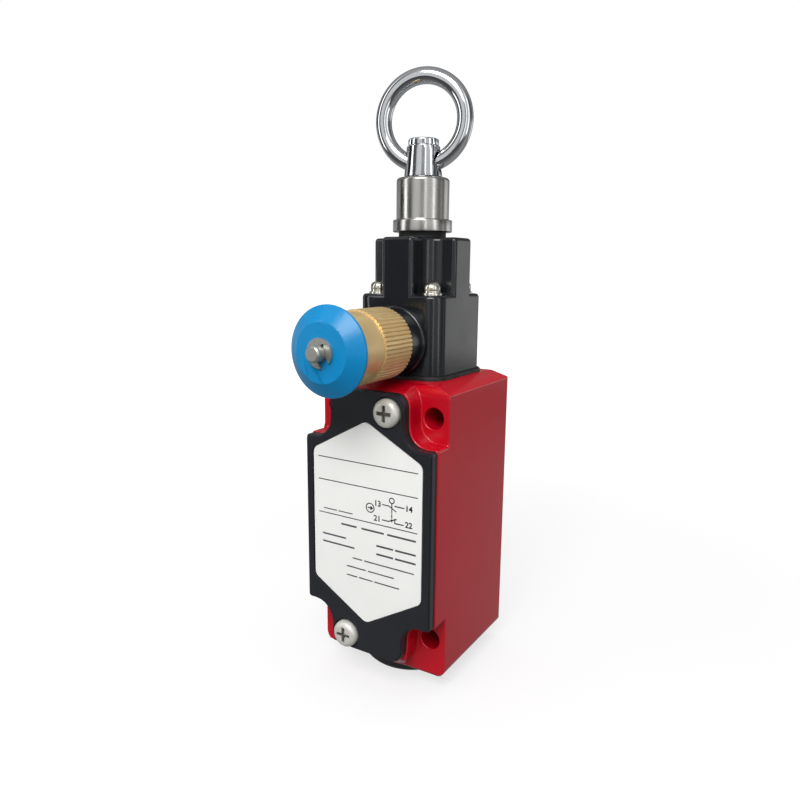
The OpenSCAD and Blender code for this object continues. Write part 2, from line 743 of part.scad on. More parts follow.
module head_housing() {
    color("#16171A") difference() {
        union() {
            at_rod() {
                loft(concat([[foot_base, foot_points(0)]],
                    [for (s = edge_steps(foot_top, top_edge_r)) [s[0], foot_points(s[1])]]));
                loft(concat([[foot_top - top_edge_r - cut, tower_points(0)]],
                    [for (s = edge_steps(tower_top, top_edge_r)) [s[0], tower_points(s[1])]]));
            }
            difference() {
                at_reset() {
                    rotate_extrude() polygon(concat([[0, rod_depth], [boss_d / 2, rod_depth]],
                        arc(boss_d / 2 - boss_edge_r, boss_front - boss_edge_r, boss_edge_r, 0, 90, 4),
                        [[0, boss_front]]));
                    translate([0, 0, rod_depth]) cylinder(d = boss_neck_d, h = guide_back - seat - rod_depth);
                    translate([0, 0, rod_depth]) cylinder(d = boss_thread_d, h = guide_back + boss_thread_l - rod_depth);
                }
                translate([-boss_d, -guide_back - 2 * boss_thread_l, foot_base - boss_d])
                    cube([2 * boss_d, guide_back + 2 * boss_thread_l, boss_d]);
            }
        }
        at_rod() {
            translate([0, 0, foot_base - cut]) cylinder(d = spring_bore_d, h = spring_top - foot_base + cut);
            translate([0, 0, foot_base - cut]) cylinder(d = spring_bore_d + 0.8, h = guide_bush_h + cut);
            translate([0, 0, spring_top - cut]) cylinder(d = spigot_d + 2 * fit, h = head_top_t + 2 * cut);
            for (sx = [-1, 1]) for (sy = [-1, 1]) {
                translate([sx * head_screw_dx, sy * head_screw_dy, foot_base - cut])
                    cylinder(d = head_screw_d + 2 * loose, h = foot_h + 2 * cut);
            }
        }
        at_reset() translate([0, 0, rod_depth])
            cylinder(d = shaft_d + 2 * fit, h = guide_back + 2 * boss_thread_l - rod_depth);
    }
}

module head_gasket() {
    proud = head_seal_proud;
    color("#0E0E0F") at_rod() difference() {
        translate([0, 0, body_top + seat]) linear_extrude(head_seal_t - 2 * seat)
            polygon(box_points(head_half_w + proud, head_half_d + proud, head_r + proud));
        translate([0, 0, body_top - cut]) cylinder(d = spring_bore_d + 0.8, h = head_seal_t + 2 * cut);
        for (sx = [-1, 1]) for (sy = [-1, 1]) {
            translate([sx * head_screw_dx, sy * head_screw_dy, body_top - cut])
                cylinder(d = head_screw_d + 2 * loose, h = head_seal_t + 2 * cut);
        }
    }
}

module head_screws() {
    color("#C9C7BC") at_rod() for (sx = [-1, 1]) for (sy = [-1, 1]) {
        translate([sx * head_screw_dx, sy * head_screw_dy, head_screw_seat])
            pan_screw(head_screw_d, head_screw_seat - body_top + head_screw_grip,
                      head_screw_head_d, head_screw_head_h);
    }
}

module head_washers() {
    color("#C4C2B8") at_rod() for (sx = [-1, 1]) for (sy = [-1, 1]) {
        translate([sx * head_screw_dx, sy * head_screw_dy, 0])
            tube(washer_d, head_screw_d + 2 * loose, foot_top + seat, foot_top + seat + washer_t);
    }
}

module head_lock_washers() {
    low = foot_top + washer_t + 2 * seat;
    split_w = 0.6;
    color("#BEBCB2") at_rod() for (sx = [-1, 1]) for (sy = [-1, 1]) {
        translate([sx * head_screw_dx, sy * head_screw_dy, 0]) difference() {
            tube(lock_washer_d, head_screw_d + 2 * loose, low, low + lock_washer_t);
            translate([0, -split_w / 2, low - cut]) cube([lock_washer_d, split_w, lock_washer_t + 2 * cut]);
        }
    }
}

module rod_guide() {
    color("#B9A46A") at_rod()
        tube(spring_bore_d + 0.8 - 2 * seat, latch_d + 2 * fit, foot_base + fit, foot_base + guide_bush_h - fit);
}

// ---- Sleeve ----

module neck_seal() {
    color("#0C0C0D") at_rod() tube(neck_d, spigot_d + 2 * fit, tower_top + seat, neck_top - seat);
}

module guide_sleeve() {
    color("#A9ABAC") at_rod() difference() {
        union() {
            translate([0, 0, spring_top + fit]) cylinder(d = spigot_d, h = neck_top - spring_top);
            translate([0, 0, neck_top]) cylinder(d = collar_d, h = collar_h);
            translate([0, 0, collar_top - cut]) rotate_extrude() polygon(concat([[0, 0], [sleeve_d / 2, 0]],
                arc(sleeve_d / 2 - sleeve_edge_r, sleeve_h + cut - sleeve_edge_r, sleeve_edge_r, 0, 90),
                [[0, sleeve_h + cut]]));
        }
        translate([0, 0, spring_top - cut]) cylinder(d = rod_d + 2 * fit, h = sleeve_top - spring_top + 2 * cut);
        translate([0, 0, wiper_seat]) cylinder(d = eye_d, h = sleeve_top - wiper_seat + cut);
    }
}

module rod_wiper() {
    color("#141414") at_rod()
        tube(eye_d - 2 * seat, rod_d + 2 * fit, wiper_seat + seat, sleeve_top - rest_gap);
}

// ---- Rod, eye and ring ----

module pull_rod() {
    groove_d = cap_d - 0.6;
    color("#BDBFC1") at_rod() difference() {
        union() {
            translate([0, 0, rod_foot]) cylinder(d = rod_thread_d, h = eye_base - rod_foot);
            translate([0, 0, rod_shoulder]) cylinder(d = rod_d, h = eye_base - rod_shoulder + cut);
            rotate_extrude() polygon([[0, eye_base], [eye_d / 2, eye_base], [eye_top_d / 2, eye_top],
                [groove_d / 2, eye_top], [groove_d / 2, cap_base], [cap_d / 2, cap_base],
                [cap_d / 2, cap_top - 0.3], [cap_d / 2 - 0.3, cap_top], [0, cap_top]]);
        }
        translate([0, 0, eye_hole_height]) rotate([0, 0, ring_turn]) rotate([0, 90, 0])
            cylinder(r = eye_hole_r, h = 2 * eye_d, center = true);
    }
}

module pull_ring() {
    color("#C6C8CA") at_rod() translate([0, 0, ring_height]) rotate([0, 0, ring_turn]) rotate([90, 0, 0])
        rotate_extrude() translate([ring_r, 0]) circle(r = wire_r);
}

module latch_collar() {
    groove_half = shaft_end_d / 2 + 0.3;
    color("#7E8083") at_rod() rotate_extrude() polygon([[rod_d / 2 + seat, rod_shoulder - seat],
        [rod_thread_d / 2 + seat, rod_shoulder - seat], [rod_thread_d / 2 + seat, latch_base], [latch_d / 2, latch_base],
        [latch_d / 2, groove_height - groove_half - groove_depth],
        [latch_d / 2 - groove_depth, groove_height - groove_half],
        [latch_d / 2 - groove_depth, groove_height + groove_half],
        [latch_d / 2, groove_height + groove_half + groove_depth], [latch_d / 2, seat_top - seat_t],
        [seat_d / 2, seat_top - seat_t], [seat_d / 2, seat_top], [rod_d / 2 + seat, seat_top]]);
}

module lock_nut() {
    color("#A6A8A6") at_rod() translate([0, 0, nut_base]) difference() {
        cylinder(d = nut_af / cos(30), h = nut_h, $fn = 6);
        translate([0, 0, -cut]) cylinder(d = rod_thread_d + 2 * seat, h = nut_h + 2 * cut);
    }
}

module main_spring() {
    color("#8A8C8F") at_rod() translate([0, 0, seat_top + seat])
        coil(spring_bore_d - 2 * main_wire_d - 0.8, main_wire_d, spring_top - seat_top - 2 * seat, main_turns);
}

// ---- Reset ----

// Straight knurl: each tooth has a flat land over half its pitch, then a groove
module knurl_outline() {
    pitch = 360 / knurl_count;
    tooth = [[0, 0], [0.5, 0], [0.75, knurl_depth]];
    polygon([for (i = [0:knurl_count - 1]) for (t = tooth)
        let (a = pitch * (i + t[0]), r = guide_d / 2 - t[1]) [r * cos(a), r * sin(a)]]);
}

module reset_guide() {
    plain_d = guide_d - 2 * knurl_depth;
    color("#C2A25C") at_reset() difference() {
        union() {
            translate([0, 0, guide_back]) linear_extrude(knurl_l) knurl_outline();
            translate([0, 0, guide_back + cut]) cylinder(d = plain_d - 0.2, h = guide_front - guide_back - cut);
        }
        translate([0, 0, guide_back - cut]) cylinder(d = boss_thread_d + 2 * seat, h = boss_thread_l + fit + cut);
        translate([0, 0, guide_back]) cylinder(d = guide_bore_d, h = spring_front - guide_back);
        translate([0, 0, spring_front - cut]) cylinder(d = shaft_d + 2 * fit, h = guide_wall + 2 * cut);
    }
}

module reset_shaft() {
    knob_seat = knob_rim_back - 0.4;
    groove_d = shaft_end_d - 0.8;
    color("#B4B6B8") at_reset() rotate_extrude() polygon([[0, nose_tip], [shaft_end_d / 2 - 0.6, nose_tip],
        [shaft_end_d / 2, nose_tip + 0.6], [shaft_end_d / 2, nose_tip + 3], [shaft_d / 2, nose_tip + 3.5],
        [shaft_d / 2, flange_back], [flange_d / 2, flange_back], [flange_d / 2, flange_back + flange_t],
        [shaft_d / 2, flange_back + flange_t], [shaft_d / 2, knob_seat], [shaft_end_d / 2, knob_seat],
        [shaft_end_d / 2, clip_back - fit], [groove_d / 2, clip_back - fit], [groove_d / 2, clip_back + clip_t + fit],
        [shaft_end_d / 2, clip_back + clip_t + fit], [shaft_end_d / 2, shaft_front - 0.4],
        [shaft_end_d / 2 - 0.4, shaft_front], [0, shaft_front]]);
}

module reset_spring() {
    color("#8A8C8F") at_reset() translate([0, 0, flange_back + flange_t + seat])
        coil((shaft_d + guide_bore_d) / 2, reset_wire_d, spring_front - flange_back - flange_t - 2 * seat,
             reset_turns, 14);
}

module reset_knob() {
    knob_seat = knob_rim_back - 0.4;
    color("#0087C8") at_reset() difference() {
        rotate_extrude() polygon([[0, knob_hub_back], [knob_hub_d / 2, knob_hub_back],
            [knob_hub_d / 2, knob_rim_back + 0.3], [knob_d / 2 - 0.3, knob_rim_back], [knob_d / 2, knob_rim_back + 0.3],
            [knob_d / 2, knob_rim_front], [knob_face_d / 2, knob_front], [0, knob_front]]);
        translate([0, 0, knob_hub_back - cut]) cylinder(d = shaft_d + 2 * fit, h = knob_seat + seat - knob_hub_back + cut);
        translate([0, 0, knob_hub_back]) cylinder(d = shaft_end_d + 2 * seat, h = knob_front - knob_hub_back + cut);
    }
}

module retaining_clip() {
    inner_d = shaft_end_d - 0.8 + 2 * fit;
    mouth_w = inner_d * 0.8;
    color("#B0B2B4") at_reset() translate([0, 0, clip_back]) rotate([0, 0, -60]) linear_extrude(clip_t) difference() {
        circle(d = clip_d);
        circle(d = inner_d);
        translate([0, -mouth_w / 2]) square([clip_d, mouth_w]);
        for (turn = [120, 240]) rotate([0, 0, turn]) translate([inner_d * 0.62, 0]) circle(d = 0.9);
    }
}

// ---- Contact block ----

module strip_slots(height) {
    for (s = [-1, 1]) {
        translate([s > 0 ? chamber_half - cut : -terminal_x - 2.2, -block_front - cut, height - strip_t / 2 - tab_gap])
            cube([terminal_x + 2.2 - chamber_half + cut, block_front + cut - rod_depth + 2.2, strip_t + 2 * tab_gap]);
    }
}

module contact_block() {
    difference() {
        translate([-block_half, -block_front, -block_bottom])
            cube([2 * block_half, block_front - block_back, block_bottom + block_top]);
        translate([-chamber_half, -rod_depth - chamber_half_d, chamber_bottom])
            cube([2 * chamber_half, 2 * chamber_half_d, chamber_top - chamber_bottom]);
        at_rod() translate([0, 0, chamber_top - cut]) cylinder(d = plunger_d + 2 * fit, h = block_roof + 2 * cut);
        for (height = [nc_height, no_height]) {
            strip_slots(height);
            for (s = [-1, 1]) {
                bar_forward(s * terminal_x, height, terminal_d + 2 * loose, block_front - terminal_thread_l, block_front + cut);
            }
        }
        for (s = [-1, 1]) {
            bar_forward(s * block_screw_x, block_screw_height, block_screw_d + 2 * loose, 0, block_front + cut);
        }
    }
}

module contact_base() {
    color("#3A3B3D") intersection() {
        contact_block();
        translate([-block_half - cut, -rod_depth + seat / 2, -block_bottom - cut])
            cube([2 * block_half + 2 * cut, rod_depth, block_bottom + block_top + 2 * cut]);
    }
}

module contact_front() {
    color("#46484A") intersection() {
        contact_block();
        translate([-block_half - cut, -block_front - cut, -block_bottom - cut])
            cube([2 * block_half + 2 * cut, block_front - rod_depth + cut - seat / 2, block_bottom + block_top + 2 * cut]);
    }
}

module block_screws() {
    color("#C4C2B8") for (s = [-1, 1]) {
        pan_screw_forward(s * block_screw_x, block_screw_height, block_front + seat, block_screw_d,
                          block_front - 1.6, block_head_d, block_head_h);
    }
}

module contact_plunger() {
    color("#D8D4C8") at_rod() difference() {
        union() {
            translate([-plunger_half, -plunger_half_d, plunger_body_bottom])
                cube([2 * plunger_half, 2 * plunger_half_d, plunger_body_top - plunger_body_bottom]);
            translate([0, 0, plunger_body_top - cut]) cylinder(d = plunger_d, h = plunger_top - plunger_body_top + cut);
        }
        translate([-plunger_half - cut, -window_w / 2, nc_bar - 2 * fit])
            cube([2 * plunger_half + 2 * cut, window_w, nc_window_top - nc_bar + 2 * fit]);
        translate([-plunger_half - cut, -window_w / 2, no_bar - bridge_spring_l - 2 * fit])
            cube([2 * plunger_half + 2 * cut, window_w, bridge_spring_l + bridge_t + 4 * fit]);
    }
}

module plunger_spring() {
    color("#8A8C8F") at_rod() translate([0, 0, chamber_bottom + seat])
        coil(5.4, 0.6, plunger_body_bottom - chamber_bottom - 2 * seat, 4, 14);
}

// Moving bridge on its own bar height; the tips point down or up
module bridge(bar_height, tips_up) {
    half = tip_x + tip_d / 2 + 0.2;
    at_rod() {
        translate([-half, -bridge_w / 2, bar_height]) cube([2 * half, bridge_w, bridge_t]);
        for (s = [-1, 1]) {
            translate([s * tip_x, 0, tips_up ? bar_height + bridge_t - seat : bar_height - tip_h])
                cylinder(d = tip_d, h = tip_h + seat);
        }
    }
}

module bridge_nc() { color("#C08A5A") bridge(nc_bar, false); }
module bridge_no() { color("#C08A5A") bridge(no_bar, true); }

module bridge_springs() {
    color("#8A8C8F") at_rod() {
        translate([0, 0, nc_bar + bridge_t + seat]) coil(2, 0.4, bridge_spring_l - 2 * seat, 3, 10);
        translate([0, 0, no_bar - bridge_spring_l]) coil(2, 0.4, bridge_spring_l - seat, 3, 10);
    }
}

// Fixed contact strip: contact tongue, run to the front, upright terminal tab
module fixed_contact(side, height, tip_above) {
    inner = tip_x - tip_d / 2 - 0.1;
    outer = terminal_x + 2;
    run_w = outer - chamber_half - 0.2;
    mirror([side > 0 ? 0 : 1, 0, 0]) difference() {
        union() {
            translate([inner, -rod_depth - 2, height - strip_t / 2]) cube([outer - inner, 4, strip_t]);
            translate([outer - run_w, -block_front - tab_gap, height - strip_t / 2])
                cube([run_w, block_front + tab_gap - rod_depth, strip_t]);
            translate([outer - run_w, -block_front - tab_gap - strip_t, height - tab_half])
                cube([run_w, strip_t, 2 * tab_half]);
            translate([tip_x, -rod_depth, tip_above ? height + strip_t / 2 - seat : height - strip_t / 2 - tip_h])
                cylinder(d = tip_d, h = tip_h + seat);
        }
        bar_forward(terminal_x, height, terminal_d + 2 * seat, block_front - terminal_thread_l, block_front + 2 * cut);
    }
}

module fixed_contacts_nc() { color("#B98552") for (s = [-1, 1]) fixed_contact(s, nc_height, true); }
module fixed_contacts_no() { color("#B98552") for (s = [-1, 1]) fixed_contact(s, no_height, false); }

saddle_t = 1.2;
saddle_back = block_front + tab_gap + strip_t + seat;

module terminal_saddles() {
    color("#C4C2B8") for (height = [nc_height, no_height]) for (s = [-1, 1]) difference() {
        translate([s * terminal_x - 2.2, -saddle_back - saddle_t, height - tab_half])
            cube([4.4, saddle_t, 2 * tab_half]);
        bar_forward(s * terminal_x, height, terminal_d + 2 * loose, saddle_back - cut, saddle_back + saddle_t + cut);
    }
}

module terminal_screws() {
    color("#C9C7BC") for (height = [nc_height, no_height]) for (s = [-1, 1]) {
        pan_screw_forward(s * terminal_x, height, saddle_back + saddle_t + seat, terminal_d, terminal_l,
                          terminal_head_d, terminal_head_h);
    }
}

// ---- Earth terminal ----

module earth_saddle() {
    color("#C9A85A") difference() {
        translate([earth_x - earth_saddle_w / 2, -earth_seat - seat - saddle_t, -earth_down - earth_saddle_w / 2])
            cube([earth_saddle_w, saddle_t, earth_saddle_w]);
        bar_forward(earth_x, -earth_down, earth_d + 2 * loose, earth_seat - cut, earth_seat + saddle_t + cut);
    }
}

module earth_screw() {
    color("#C9A85A") pan_screw_forward(earth_x, -earth_down, earth_seat + saddle_t + 2 * seat, earth_d,
                                       earth_l, earth_head_d, earth_head_h);
}

housing();
cover();
cover_gasket();
label_plate();
cover_screws();
conduit_bush();
conduit_seal();
head_housing();
head_gasket();
head_screws();
head_washers();
head_lock_washers();
rod_guide();
neck_seal();
guide_sleeve();
rod_wiper();
pull_rod();
pull_ring();
latch_collar();
lock_nut();
main_spring();
reset_guide();
reset_shaft();
reset_spring();
reset_knob();
retaining_clip();
contact_base();
contact_front();
block_screws();
contact_plunger();
plunger_spring();
bridge_nc();
bridge_no();
bridge_springs();
fixed_contacts_nc();
fixed_contacts_no();
terminal_screws();
terminal_saddles();
earth_screw();
earth_saddle();
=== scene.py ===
"""Dresses a rope pull switch: enamelled casting, cover with its label, head, pull rod with ring, and reset knob.

Everything stands in the part's own frame, in metres: +Z up the rod, -Y out of the cover, +X to the right.
Lengths in the classes below are millimetres, turned to metres by mm().
"""

from __future__ import annotations

import logging
import math
from dataclasses import dataclass, field
from enum import Enum
from typing import Callable, Iterable

import bmesh
import bpy
from mathutils import Matrix, Vector
from mathutils.bvhtree import BVHTree


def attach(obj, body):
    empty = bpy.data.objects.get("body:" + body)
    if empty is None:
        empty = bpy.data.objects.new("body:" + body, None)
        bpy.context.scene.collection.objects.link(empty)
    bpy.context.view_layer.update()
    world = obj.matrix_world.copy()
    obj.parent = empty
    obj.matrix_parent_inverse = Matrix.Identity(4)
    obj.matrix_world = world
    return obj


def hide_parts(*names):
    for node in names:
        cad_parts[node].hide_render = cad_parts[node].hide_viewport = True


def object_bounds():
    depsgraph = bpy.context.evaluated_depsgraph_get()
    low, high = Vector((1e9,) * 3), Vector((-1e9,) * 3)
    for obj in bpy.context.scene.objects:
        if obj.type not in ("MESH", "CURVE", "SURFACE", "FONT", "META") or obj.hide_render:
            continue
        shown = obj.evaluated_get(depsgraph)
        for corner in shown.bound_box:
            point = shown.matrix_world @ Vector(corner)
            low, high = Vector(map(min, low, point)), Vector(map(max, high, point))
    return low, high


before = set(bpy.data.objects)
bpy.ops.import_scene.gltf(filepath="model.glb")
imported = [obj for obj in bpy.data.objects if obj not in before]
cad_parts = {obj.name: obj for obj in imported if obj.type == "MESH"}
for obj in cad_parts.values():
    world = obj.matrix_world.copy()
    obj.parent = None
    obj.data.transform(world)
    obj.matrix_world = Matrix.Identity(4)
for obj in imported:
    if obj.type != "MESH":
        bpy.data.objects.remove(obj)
CAD_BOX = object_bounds()

LOG = logging.getLogger("rope_pull_switch")


class Body(Enum):
    """Bodies of the mechanism that pieces move with."""

    SWITCH = "switch_body"
    ROD = "rod"
    RING = "ring"
    RESET = "reset"
    CARRIER = "contact_carrier"


def mm(value: float) -> float:
    """Returns a length in millimetres as metres."""
    return value * 0.001


def linear(colour: str) -> tuple[float, float, float, float]:
    """Turns a colour as it is seen into the light values that a shader takes.

    Args:
        colour: sRGB hex value such as "#B8001C".

    Returns:
        Linear red, green and blue, and an alpha of 1.
    """
    values = [int(colour[i : i + 2], 16) / 255 for i in (1, 3, 5)]
    return (*[v / 12.92 if v <= 0.04045 else ((v + 0.055) / 1.055) ** 2.4 for v in values], 1.0)


# ---- Finishes ----


def add_node(tree: bpy.types.NodeTree, kind: str, inputs: dict | None = None, **settings) -> bpy.types.Node:
    """Adds a shader node with its settings and links.

    Args:
        tree: Node tree of the material or world.
        kind: Node type without its "ShaderNode" prefix.
        inputs: Socket name or number to a value, or to the output socket that feeds it.
        **settings: Properties of the node.

    Returns:
        The new node.
    """
    made = tree.nodes.new("ShaderNode" + kind)
    for name, value in settings.items():
        setattr(made, name, value)
    for name, value in (inputs or {}).items():
        if isinstance(value, bpy.types.NodeSocket):
            tree.links.new(value, made.inputs[name])
        else:
            made.inputs[name].default_value = value
    return made


@dataclass(frozen=True)
class Finish:
    """A surface: its colour, its gloss and the fine relief of how it was made.

    Attributes:
        name: Common name of the material and how its surface was made.
        colour: sRGB hex of the plain surface.
        shade: sRGB hex of the patches that differ a little from it.
        patch_mm: Size of those patches.
        roughness: Lowest and highest roughness over the surface.
        grain_mm: Size of the fine relief.
        relief_mm: Height of the fine relief.
        metallic: 1 for bare metal and 0 for paint, plastic and rubber.
        ior: Index of refraction of paint, plastic and rubber; bare metal keeps 1.5.
        centre_mm: Centre of the pattern.
    """

    name: str
    colour: str
    shade: str
    patch_mm: float = 12.0
    roughness: tuple[float, float] = (0.3, 0.4)
    grain_mm: float = 0.6
    relief_mm: float = 0.004
    metallic: float = 0.0
    ior: float = 1.5
    centre_mm: tuple[float, float, float] = (0.0, 0.0, 0.0)

    def place(self, tree: bpy.types.NodeTree) -> bpy.types.NodeSocket:
        """Returns Object coordinates centred on the pattern's own middle."""
        where = add_node(tree, "TexCoord")
        shift = tuple(-mm(v) for v in self.centre_mm)
        return add_node(tree, "Mapping", {"Vector": where.outputs["Object"], "Location": shift}).outputs[0]

    def noise(self, tree: bpy.types.NodeTree, place: bpy.types.NodeSocket, size_mm: float, detail: float = 2.0,
              stretch: tuple[float, float, float] | None = None) -> bpy.types.NodeSocket:
        """Adds a noise whose lumps have a real size.

        Args:
            tree: Node tree of the material.
            place: Coordinates in metres.
            size_mm: Distance from one lump to the next.
            detail: Octaves of finer lumps.
            stretch: Scale along each axis, or None for lumps that are round.

        Returns:
            The noise value, about 0.5 on average.
        """
        if stretch:
            place = add_node(tree, "Mapping", {"Vector": place, "Scale": stretch}).outputs[0]
        made = add_node(tree, "TexNoise", {"Vector": place, "Scale": 1.0 / mm(size_mm), "Detail": detail})
        return made.outputs["Fac"]

    def relief(self, tree: bpy.types.NodeTree, place: bpy.types.NodeSocket) -> bpy.types.NodeSocket:
        """Returns the height pattern of the surface, from 0 to 1."""
        return self.noise(tree, place, self.grain_mm, 3.0)

    def tint(self, tree: bpy.types.NodeTree, place: bpy.types.NodeSocket,
             colour: bpy.types.NodeSocket) -> bpy.types.NodeSocket:
        """Returns the colour with any marks on it; a plain finish has none.

        Args:
            tree: Node tree of the material.
            place: Coordinates in metres.
            colour: Colour of the plain surface.

        Returns:
            The colour with its marks.
        """
        return colour

    def material(self) -> bpy.types.Material:
        """Builds the material once and returns it."""
        made = bpy.data.materials.get(self.name)
        if made:
            return made
        made = bpy.data.materials.new(self.name)
        made.use_nodes = True
        tree = made.node_tree
        tree.nodes.clear()
        place = self.place(tree)
        patches = self.noise(tree, place, self.patch_mm)
        colour = add_node(tree, "Mix", {0: patches, 6: linear(self.colour), 7: linear(self.shade)}, data_type="RGBA")
        colour = self.tint(tree, place, colour.outputs[2])
        height = self.relief(tree, place)
        rough = add_node(tree, "MapRange", {"Value": patches, "From Min": 0.3, "From Max": 0.7,
                                            "To Min": self.roughness[0], "To Max": self.roughness[1]})
        bump = add_node(tree, "Bump", {"Height": height, "Distance": mm(self.relief_mm), "Strength": 1.0})
        shader = add_node(tree, "BsdfPrincipled", {"Base Color": colour, "Roughness": rough.outputs[0],
                                                   "Normal": bump.outputs[0], "Metallic": self.metallic})
        if not self.metallic:
            shader.inputs["IOR"].default_value = self.ior
        add_node(tree, "OutputMaterial", {"Surface": shader.outputs[0]})
        return made


@dataclass(frozen=True)
class TurnedFinish(Finish):
    """Bare metal from the lathe: fine rings round one axis.

    Attributes:
        axis: Index of the axis that the piece was turned on.
        ring_mm: Distance from one tool mark to the next, drawn wider than the real 0.05 mm so that it shows.
        across: Scale of the marks across that axis; a small one draws them out to rings.
    """

    axis: int = 2
    ring_mm: float = 0.25
    across: float = 0.02

    def relief(self, tree: bpy.types.NodeTree, place: bpy.types.NodeSocket) -> bpy.types.NodeSocket:
        """Returns rings of uneven height along the axis.

        Args:
            tree: Node tree of the material.
            place: Coordinates in metres.

        Returns:
            The height pattern, from 0 to 1.
        """
        scale = [self.across] * 3
        scale[self.axis] = 1.0
        return self.noise(tree, place, self.ring_mm, 2.0, tuple(scale))


@dataclass(frozen=True)
class RecessFinish(Finish):
    """Plated screws with painted shade inside their driving recesses.

    Attributes:
        axes_mm: Place (x, z) of each screw.
        reach_mm: Radius of the recess.
        front_mm: Depth in front of the back face, below which the recess gets the painted shade.
        recess_shade: sRGB hex of the painted shade inside the recess.
    """

    axes_mm: tuple[tuple[float, float], ...] = ()
    reach_mm: float = 1.0
    front_mm: float = 0.0
    recess_shade: str = "#7C7971"

    def tint(self, tree: bpy.types.NodeTree, place: bpy.types.NodeSocket,
             colour: bpy.types.NodeSocket) -> bpy.types.NodeSocket:
        """Returns the colour, with painted shade inside the recesses.

        Args:
            tree: Node tree of the material.
            place: Coordinates in metres.
            colour: Colour outside the recesses.

        Returns:
            The colour of the whole surface.
        """
        flat = add_node(tree, "Mapping", {"Vector": place, "Scale": (1.0, 0.0, 1.0)}).outputs[0]
        away = [add_node(tree, "VectorMath", {0: flat, 1: (mm(x), 0.0, mm(z))}, operation="DISTANCE").outputs["Value"]
                for x, z in self.axes_mm]
        nearest = away[0]
        for other in away[1:]:
            nearest = add_node(tree, "Math", {0: nearest, 1: other}, operation="MINIMUM").outputs[0]
        inside = add_node(tree, "Math", {0: nearest, 1: mm(self.reach_mm)}, operation="LESS_THAN").outputs[0]
        depth = add_node(tree, "SeparateXYZ", {0: place}).outputs["Y"]
        sunk = add_node(tree, "Math", {0: depth, 1: -mm(self.front_mm)}, operation="GREATER_THAN").outputs[0]
        # Painted shade: faces inside the recess radius and sunk behind the head's front turn to a darker grey.
        dark = add_node(tree, "Math", {0: inside, 1: sunk}, operation="MULTIPLY").outputs[0]
        return add_node(tree, "Mix", {0: dark, 6: colour, 7: linear(self.recess_shade)}, data_type="RGBA").outputs[2]


# Enamel over die-cast zinc, sprayed and stoved: a smooth wet gloss with a faint orange peel.
RED_ENAMEL = Finish("red_stoved_enamel", "#BE051E", "#B3031A", 18, (0.2, 0.26), 1.6, 0.004)
BLACK_ENAMEL = Finish("black_stoved_enamel", "#101317", "#15181C", 10, (0.14, 0.22), 1.2, 0.010)
# Stamped cover with a harder black enamel: flatter and a little duller than the castings.
BLACK_COVER = Finish("black_cover_enamel", "#1C1E22", "#212328", 14, (0.26, 0.34), 0.9, 0.006)
# Polyester film, printed: satin and very even.
LABEL_FILM = Finish("white_polyester_film", "#EDEDEB", "#E6E6E3", 9, (0.4, 0.46), 0.3, 0.002)
LABEL_INK = Finish("black_screen_ink", "#0C0D0E", "#141517", 2, (0.5, 0.6), 0.2, 0.001)
GREY_INK = Finish("grey_screen_ink", "#3E4044", "#484A4E", 2, (0.5, 0.6), 0.2, 0.001)
# Steel screws with a bright, slightly yellow nickel plate.
NICKEL_PLATE = Finish("nickel_plated_steel", "#DDDBD2", "#C4C0B2", 0.9, (0.16, 0.3), 0.5, 0.012, metallic=1)
# Cover screws: a duller plate, with painted shade in their cross recesses.
DULL_NICKEL = RecessFinish("dull_nickel_plated_steel", "#DEDCD6", "#C6C3BA", 1.0, (0.32, 0.45), 0.6, 0.02,
                           metallic=0.3, axes_mm=((6.4, 31.9), (-6.4, -30.8)), reach_mm=2.2, front_mm=46.05)
ZINC_PLATE = Finish("zinc_plated_steel", "#C9C7BC", "#B9B7AE", 2.5, (0.28, 0.42), 0.4, 0.004, metallic=1)
CHROME = Finish("polished_chrome_plate", "#CBCDD0", "#BFC2C5", 3, (0.06, 0.12), 0.7, 0.003, metallic=1)
TURNED_STEEL = TurnedFinish("turned_stainless_steel", "#B8B7B4", "#ABAAA7", 5, (0.19, 0.27), relief_mm=0.0015,
                            metallic=1, centre_mm=(0, -17.6, 0), axis=2)
TURNED_BRASS = TurnedFinish("turned_brass", "#E4C894", "#D3B883", 4, (0.36, 0.46), relief_mm=0.004,
                            metallic=0.55, centre_mm=(0, 0, 48.1), axis=1)
TURNED_SHAFT = TurnedFinish("turned_steel_shaft", "#B4B4AE", "#9A9A94", 1.5, (0.25, 0.38), relief_mm=0.005,
                            metallic=0.75, centre_mm=(0, 0, 48.1), axis=1)
BLUE_PLASTIC = Finish("blue_moulded_nylon", "#0080BA", "#007AB2", 5, (0.26, 0.33), 0.35, 0.004, ior=1.4)
RUBBER = Finish("black_nitrile_rubber", "#0E0E0F", "#151516", 4, (0.5, 0.65), 0.5, 0.006)
BLACK_NYLON = Finish("black_moulded_nylon", "#232527", "#1C1D1F", 6, (0.4, 0.52), 0.4, 0.008)
GREY_PHENOLIC = Finish("grey_moulded_phenolic", "#46484A", "#3F4143", 6, (0.45, 0.6), 0.4, 0.008)
PALE_ACETAL = Finish("pale_moulded_acetal", "#D8D4C8", "#CFCBBE", 6, (0.35, 0.45), 0.4, 0.004)
COPPER_ALLOY = Finish("punched_copper_alloy", "#C08A58", "#AC7A4C", 3, (0.25, 0.38), 0.3, 0.003, metallic=1)
SINTERED_BRONZE = Finish("sintered_bronze", "#B09A62", "#9C8653", 1.5, (0.4, 0.55), 0.3, 0.008, metallic=1)
GROUND_STEEL = TurnedFinish("ground_hardened_steel", "#8A8C8F", "#77797C", 3, (0.2, 0.3), relief_mm=0.003,
                            metallic=1, centre_mm=(0, -17.6, 0), axis=2)
SPRING_WIRE = Finish("drawn_spring_steel", "#8C8E91", "#77797C", 2, (0.3, 0.4), 0.3, 0.002, metallic=1)


# ---- Bench: what the pieces are made with ----


